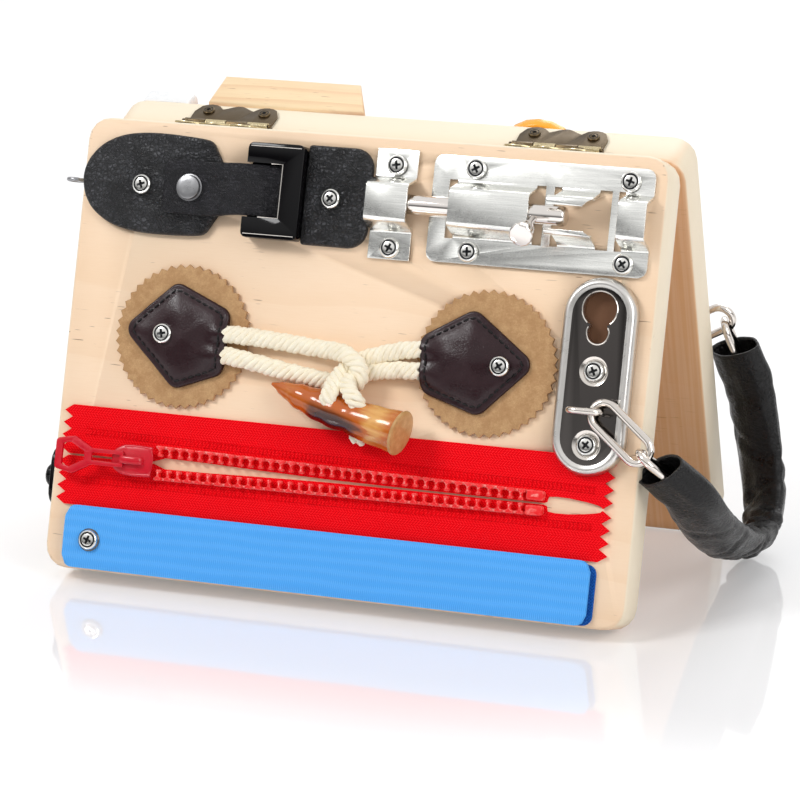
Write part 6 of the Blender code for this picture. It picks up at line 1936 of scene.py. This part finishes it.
@dataclass
class ChainEnd(Fitting):
    """A keyhole plate with its staple and links."""

    keyhole: tuple[Flat, Flat] = ((21.2, 5.75), (13.7, 3.65))
    dishes: tuple[Flat, Flat] = ((1.6, 4.7), (-21.7, 4.7))
    staple_wire: float = 1.15
    staple_bend: float = 3.0
    link_wire: float = 1.3

    def build(self) -> None:
        """Dresses the plate and draws the staple and both links round."""
        prefix = self.side.name.lower()
        self.plate(f"{prefix}_chain_plate")
        for part, draw in (("staple", self.staple), ("link", self.link), ("link_2", self.link)):
            node = f"{prefix}_chain_{part}"
            self.put(f"{prefix}_{part}_wire", draw(node), NICKEL, node)

    def plate(self, node: str) -> None:
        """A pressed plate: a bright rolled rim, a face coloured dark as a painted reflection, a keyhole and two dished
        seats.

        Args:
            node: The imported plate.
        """
        low, high = local_box(node, self.side)
        wide = (high.x - low.x) / 2
        middle = (low + high) / 2
        turns = [math.pi * i / 20 for i in range(21)]
        reach = (high.y - low.y) / 2 - wide
        outline = [(middle.x + wide * math.cos(a), middle.y + reach + wide * math.sin(a)) for a in turns]
        outline += [(middle.x - wide * math.cos(a), middle.y - reach - wide * math.sin(a)) for a in turns]
        face = high.z - 0.45
        roll = [
            (0, low.z), (0, low.z + 0.6), (0.3, low.z + 1.7), (0.8, high.z - 0.6), (1.4, high.z - 0.15),
            (2.0, high.z), (2.6, high.z - 0.15), (3.3, face),
        ]
        rings = [[Vector((x, y, z)) for x, y in inset(outline, away)] for away, z in roll]
        whole = lofted(rings).mesh(node, 40)
        for y, radius in (*self.keyhole, *self.dishes):
            drill = lathed([(radius, low.z - 1), (radius, high.z + 1)], 40).shifted(middle.x, middle.y + y)
            whole = boolean_cut(whole, drill.mesh("drill"))

        def flat(face: bpy.types.MeshPolygon) -> bool:
            """Whether a face lies on the plate's level middle."""
            x, y, _ = (c / MM for c in face.center)
            away = wide - math.hypot(x - middle.x, max(0.0, abs(y - middle.y) - reach))
            return away > 3.0 and face.normal.z > 0.9

        # The level middle gets a dark colour that paints the reflection of a dark surround.
        two_tone(whole, ROLLED, PAINTED_DARK_REFLECTION, flat, 50)
        self.put(f"{node}_pressing", whole, NICKEL, node)
        shade = Shape([], [])
        for (y, _), (reach, top) in zip(self.keyhole, ((6.4, 0.42), (4.3, 0.38))):
            coin = lathed([(NEAR_ZERO, 0.25), (reach, 0.25), (reach, top), (NEAR_ZERO, top)], 32)
            shade.join(coin.shifted(middle.x, middle.y + y))
        self.put(f"{node}_keyhole_shadow", shade, KEYHOLE, slot="nickel")
        rims = Shape([], [])
        for y, radius in self.dishes:
            dish = [
                (0.6, face - 1.2), (radius + 0.05, face - 1.0), (radius + 0.05, face), (radius - 0.2, face - 0.05),
                (radius - 1.3, face - 0.8), (0.6, face - 0.85),
            ]
            rims.join(lathed(dish, 40).shifted(middle.x, middle.y + y))
        for (y, radius), degrees in zip(self.keyhole, (range(-50, 231, 10), range(150, 391, 10))):
            turns = [math.radians(a) for a in degrees]
            path = [(middle.x + radius * math.cos(a), middle.y + y + radius * math.sin(a), face - 0.05) for a in turns]
            rims.join(wire(path, 0.28, 8))
        self.put(f"{node}_bright_rims", rims, NICKEL)

    def staple(self, node: str) -> Shape:
        """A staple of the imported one's size, its crown bent round.

        Args:
            node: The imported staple.

        Returns:
            The shape.
        """
        low, high = local_box(node, self.side)
        r, bend = self.staple_wire, self.staple_bend
        xa, xb, y, top = low.x + r, high.x - r, (low.y + high.y) / 2, high.z - r
        half_turns = [k * math.pi / 16 for k in range(9)]
        path = [(xa, y, low.z), (xa, y, (low.z + top) / 2)]
        path += [(xa + bend - bend * math.cos(a), y, top - bend + bend * math.sin(a)) for a in half_turns]
        path += [(xb - bend + bend * math.sin(a), y, top - bend + bend * math.cos(a)) for a in half_turns]
        path += [(xb, y, (low.z + top) / 2), (xb, y, low.z)]
        return wire(path, r, 20)

    def link(self, node: str) -> Shape:
        """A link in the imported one's place: its plane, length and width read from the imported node.

        Args:
            node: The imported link.

        Returns:
            The shape.
        """
        back = self.side.matrix.inverted()
        points = [back @ v.co / MM for v in frame["nodes"][node].data.vertices]
        middle = sum(points, Vector()) / len(points)
        far = max(points, key=lambda p: (p - middle).length)
        aim = (far - middle).normalized()
        for _ in range(4):
            reach = max((p - middle).dot(aim) for p in points)
            ends = [p for p in points if (p - middle).dot(aim) > reach * 0.9]
            aim = (sum(ends, Vector()) / len(ends) - middle).normalized()
        flat = [(p - middle) - aim * (p - middle).dot(aim) for p in points]
        across = max(flat, key=lambda p: p.length).normalized()
        half_long = max(abs((p - middle).dot(aim)) for p in points)
        half_wide = max(abs((p - middle).dot(across)) for p in points)
        turn, straight = half_wide - self.link_wire, half_long - half_wide
        path = []
        for sign in (1, -1):
            for k in range(17):
                a = -math.pi / 2 + math.pi * k / 16
                out, over = sign * (straight + turn * math.cos(a)), sign * turn * math.sin(a)
                path.append(middle + aim * out + across * over)
        path += [path[-1].lerp(path[0], share) for share in (0.25, 0.5, 0.75)]
        return wire(path, self.link_wire, 18, closed=True)


@dataclass
class SideFittings(Fitting):
    """The screw eye and the button on the panel's left side."""

    def build(self) -> None:
        """Draws the eye round and dresses the button."""
        x, y, z = -100.0, -21.0, -7.5
        ring, stand = 2.8, 2.6
        centre = x - 0.3 - stand - ring
        path = [(x + 8.0, y, z), (x + 2.0, y, z), (x - 0.3 - stand * 0.7, y, z)]
        turns = [math.radians(25 + 310 * i / 30) for i in range(31)]
        path += [(centre + ring * math.cos(a), y, z + ring * math.sin(a)) for a in turns]
        self.put("screw_eye_wire", wire(path, 0.7, 14), GUNMETAL, "screw_eye", slot="nickel")
        self.dress_node("side_button", GLOSS, 0.2)


@dataclass
class Hinges(Fitting):
    """The butterfly hinges with their small screws."""

    centre: float = 57.3

    def build(self) -> None:
        """Dresses the leaves and pins, then adds the screws of both leaves."""
        for name in ("left", "right"):
            self.dress_node(f"front_hinge_leaf_{name}", GOLD, 0.08)
            self.dress_node(f"rear_hinge_leaf_{name}", BRONZE, 0.08)
            self.dress_node(f"hinge_pin_{name}", BRONZE, 0.1)
        small = ScrewSet(Side.FRONT, 2.05, 0.75, 1.1, 0.5, 0.5, BRONZE).head("hinge_screw_head")
        for side in Side:
            stand = side.matrix @ Matrix.Translation((0, 1.8 * MM, 0)) @ Matrix.Rotation(-math.pi / 2, 4, "X")
            for sign in (1, -1):
                for off in (10.0, -10.0):
                    across, edge = "right" if sign > 0 else "left", "outer" if off * sign > 0 else "inner"
                    piece = placed(f"{side.body.value}_hinge_screw_{across}_{edge}", small)
                    x, away = sign * self.centre + off, 9.2 - 15.3
                    spot = Matrix.Translation((x * MM, -away * MM, -0.9 * MM)) @ Matrix.Rotation(off + sign, 4, "Z")
                    piece.matrix_world = stand @ spot
                    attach(piece, side.body.value)


@dataclass
class RearFittings(Fitting):
    """Everything on the rear panel but its chain plate."""

    side: Side = Side.REAR

    def build(self) -> None:
        """Dresses the block, the switch and the wheel, and seats the wheel's screw."""
        self.dress_node("wood_block", BLOCK, 0.0)
        self.dress_node("switch_housing", WHITE, 0.25)
        self.dress_node("switch_rocker", WHITE, 0.2)
        self.dress_node("wheel", ORANGE, 0.2)
        low, high = local_box("wheel_screw", self.side)
        middle = (low + high) / 2
        screws = ScrewSet(self.side)
        large = screws.head("rear_screw_head")
        place = (middle.x, middle.y, high.z - screws.height)
        screws.seat("wheel_screw_head", large, place, 15, "wheel_screw")
        for i, (y, _) in enumerate(ChainEnd.dishes, 1):
            screws.seat(f"rear_plate_screw_{i}", large, (-83.0, -71.0 + y, 2.75), 20 + 50 * i)


@dataclass(frozen=True)
class Studio:
    """The camera, the pale floor and the soft lights."""

    camera_place: Place = (0.3857, -1.0629, 0.3962)
    forward: Place = (-0.32357, 0.90059, -0.29024)
    upward: Place = (-0.0913, 0.27559, 0.95693)
    lens: float = 159.0
    floor_index: float = 1.9
    band_level: float = 0.12
    ambient: float = 0.44
    floor_half: float = 4000.0
    floor_level: float = -0.4

    def camera(self) -> None:
        """Stands the camera where the photographer stood."""
        data = bpy.data.cameras.new("camera")
        data.lens = self.lens
        data.sensor_width = 36.0
        data.clip_end = 50.0
        made = placed("camera", data)
        back, up = -Vector(self.forward), Vector(self.upward)
        right = up.cross(back).normalized()
        up = back.cross(right).normalized()
        turn = Matrix((right, up, back.normalized())).transposed().to_4x4()
        made.matrix_world = Matrix.Translation(self.camera_place) @ turn
        bpy.context.scene.camera = made

    def lamp(self, name: str, place: Place, aim: Place, size: Flat, watts: float, colour: Colour = (1, 1, 1)) -> None:
        """One soft lamp.

        Args:
            name: Its name.
            place: Where it stands.
            aim: What it points at.
            size: Its width and height.
            watts: Its power.
            colour: Its colour.
        """
        data = bpy.data.lights.new(name, "AREA")
        data.shape = "RECTANGLE"
        data.size, data.size_y = size
        data.energy = watts
        data.color = colour
        made = placed(name, data)
        made.location = place
        made.rotation_euler = (Vector(aim) - Vector(place)).to_track_quat("-Z", "Y").to_euler()

    def floor(self) -> None:
        """A white floor that mirrors the board, less so further from it."""
        corners = ((-1, -1), (1, -1), (1, 1), (-1, 1))
        points = [Vector((x * self.floor_half, y * self.floor_half, self.floor_level)) for x, y in corners]
        mesh = Shape(points, [(0, 1, 2, 3)]).mesh("floor")
        made = placed("floor", mesh)
        material = bpy.data.materials.new("floor_white")
        material.use_nodes = True
        bench = Bench(material.node_tree)
        split = bench.axes(bench.node("TexCoord").outputs["Object"])
        near = bench.spread(split[1], -0.22, -0.10)
        ray = bench.node("LightPath").outputs
        seen = bench.math("MAXIMUM", ray["Is Camera Ray"], ray["Is Glossy Ray"])
        seen = bench.math("MAXIMUM", seen, ray["Is Transmission Ray"])
        bench.give("Base Color", (0.80, 0.80, 0.81))
        bench.give("Roughness", bench.less(0.14, bench.times(near, 0.09)))
        bench.give("IOR", self.floor_index)
        bench.give("Specular IOR Level", bench.times(bench.times(near, 0.5), seen))
        bench.give("Emission Color", (1.0, 1.0, 1.0))
        glow = bench.less(0.60, bench.times(near, 0.37))
        bench.give("Emission Strength", bench.times(glow, seen))
        mesh.materials.append(material)

    def world(self) -> None:
        """A pale surround: white to the camera, a dark low band in front as metal sees it, softer as light."""
        world = bpy.data.worlds.new("surround")
        bpy.context.scene.world = world
        world.use_nodes = True
        bench = Bench(world.node_tree)
        ray = bench.node("LightPath").outputs
        toward = bench.axes(bench.node("TexCoord").outputs["Generated"])
        front = bench.spread(toward[2], 0.02, 0.51, self.band_level, 1.0)
        behind = bench.spread(toward[1], -0.1, 0.3)
        mirrored = bench.plus(front, bench.times(behind, bench.less(1.0, front)))
        seen = bench.math("MAXIMUM", ray["Is Camera Ray"], ray["Is Transmission Ray"])
        extra = bench.times(ray["Is Glossy Ray"], bench.less(mirrored, self.ambient))
        glossy = bench.plus(self.ambient, extra)
        level = bench.plus(glossy, bench.times(seen, bench.less(1.0, glossy)))
        ground = world.node_tree.nodes["Background"]
        bench.feed(ground.inputs["Color"], (1.0, 1.0, 1.0))
        bench.feed(ground.inputs["Strength"], level)

    def build(self) -> None:
        """Sets up the whole studio."""
        bpy.context.scene.view_settings.view_transform = "Standard"
        self.floor()
        self.world()
        self.lamp("key", (-0.75, -0.75, 1.05), (0, 0, 0.07), (0.45, 0.35), 8.6)
        self.lamp("fill", (0.9, -0.5, 0.6), (0, 0, 0.07), (0.5, 0.7), 4.4)
        self.lamp("rim", (0.1, 0.9, 0.9), (0, 0, 0.1), (0.8, 0.4), 5.0)


LOOP_ROUTE: tuple[Place, ...] = (
    (-42.4, 68.3, 3.4), (-40, 68.3, 3.8), (-36, 68.4, 4.1), (-30, 68.6, 3.4), (-22, 69.2, 2.6), (-12, 70, 2.7),
    (-6, 70.4, 4), (-1, 70.9, 6.2), (3.2, 72.4, 7.4), (6.6, 76, 7.5), (5.8, 79.8, 6.8), (1.2, 81.5, 5),
    (-5, 80.6, 2.9), (-10.8, 79.8, 2.6), (-21.2, 78.4, 2.6), (-28, 77.2, 3), (-33, 76.4, 4), (-37, 75.8, 4.1),
    (-40.2, 75.4, 3.8), (-42.5, 75.2, 3.4),
)
TIE_UPPER_ROUTE: tuple[Place, ...] = (
    (25.2, 67.5, 3.4), (20.5, 68, 3.7), (16.5, 68.9, 3), (12, 70, 2.4), (7.5, 71.5, 2.2), (3.5, 73.3, 2.4),
    (0.8, 76, 5), (-0.4, 79.2, 8.8), (-1, 82.8, 11.6), (-1.4, 85.8, 12.6), (-1.6, 88, 11.2),
)
TIE_LOWER_ROUTE: tuple[Place, ...] = (
    (25.2, 74.5, 3.4), (20.5, 74.6, 3.7), (16.5, 74.9, 3), (12, 75.6, 2.4), (8, 76.4, 2.4), (4.8, 77.2, 3.4),
    (2.8, 78.2, 6.8), (3.4, 80.6, 10.4), (5.6, 83.4, 12.2), (7.8, 85.8, 13), (9, 88.4, 11.2), (8.6, 92, 8),
    (7.4, 95.8, 5), (6.6, 99, 3.8),
)
SLEEVE_ROUTE: tuple[Place, ...] = (
    (106.8, -47.2, 54.2), (111, -43.4, 49.1), (114.6, -39.1, 43.8), (116.2, -30.5, 35), (116.8, -18.5, 26.2),
    (117.5, -3.5, 18), (118.4, 11.5, 11.8), (119, 26, 8.4), (119.2, 37, 9.4), (118.4, 45, 14), (116.8, 49.8, 20.7),
    (115, 52.2, 28.5), (113.3, 53, 37.5), (111.7, 52.8, 46.5), (109.9, 52.1, 55.9), (107.8, 50.3, 62.2),
    (105.9, 48.6, 68.2),
)


def main() -> None:
    """Builds the studio, then every sub-assembly in order."""
    logging.basicConfig(level=logging.INFO, format="%(message)s")
    Studio().build()
    Studio().camera()
    Fitting(Side.FRONT).dress_node("front_board", PINE)
    Fitting(Side.REAR).dress_node("rear_board", PINE)
    for fitting in (
        Hinges(), SnapStrap(), BarrelBolt(), Toggle(), Zip(), HookStrap(), ChainEnd(Side.FRONT), ChainEnd(Side.REAR),
        SideFittings(), RearFittings(), ScrewSet(), Cords(),
    ):
        log.info("Building %s", type(fitting).__name__)
        fitting.build()


if __name__ == "__main__":
    main()
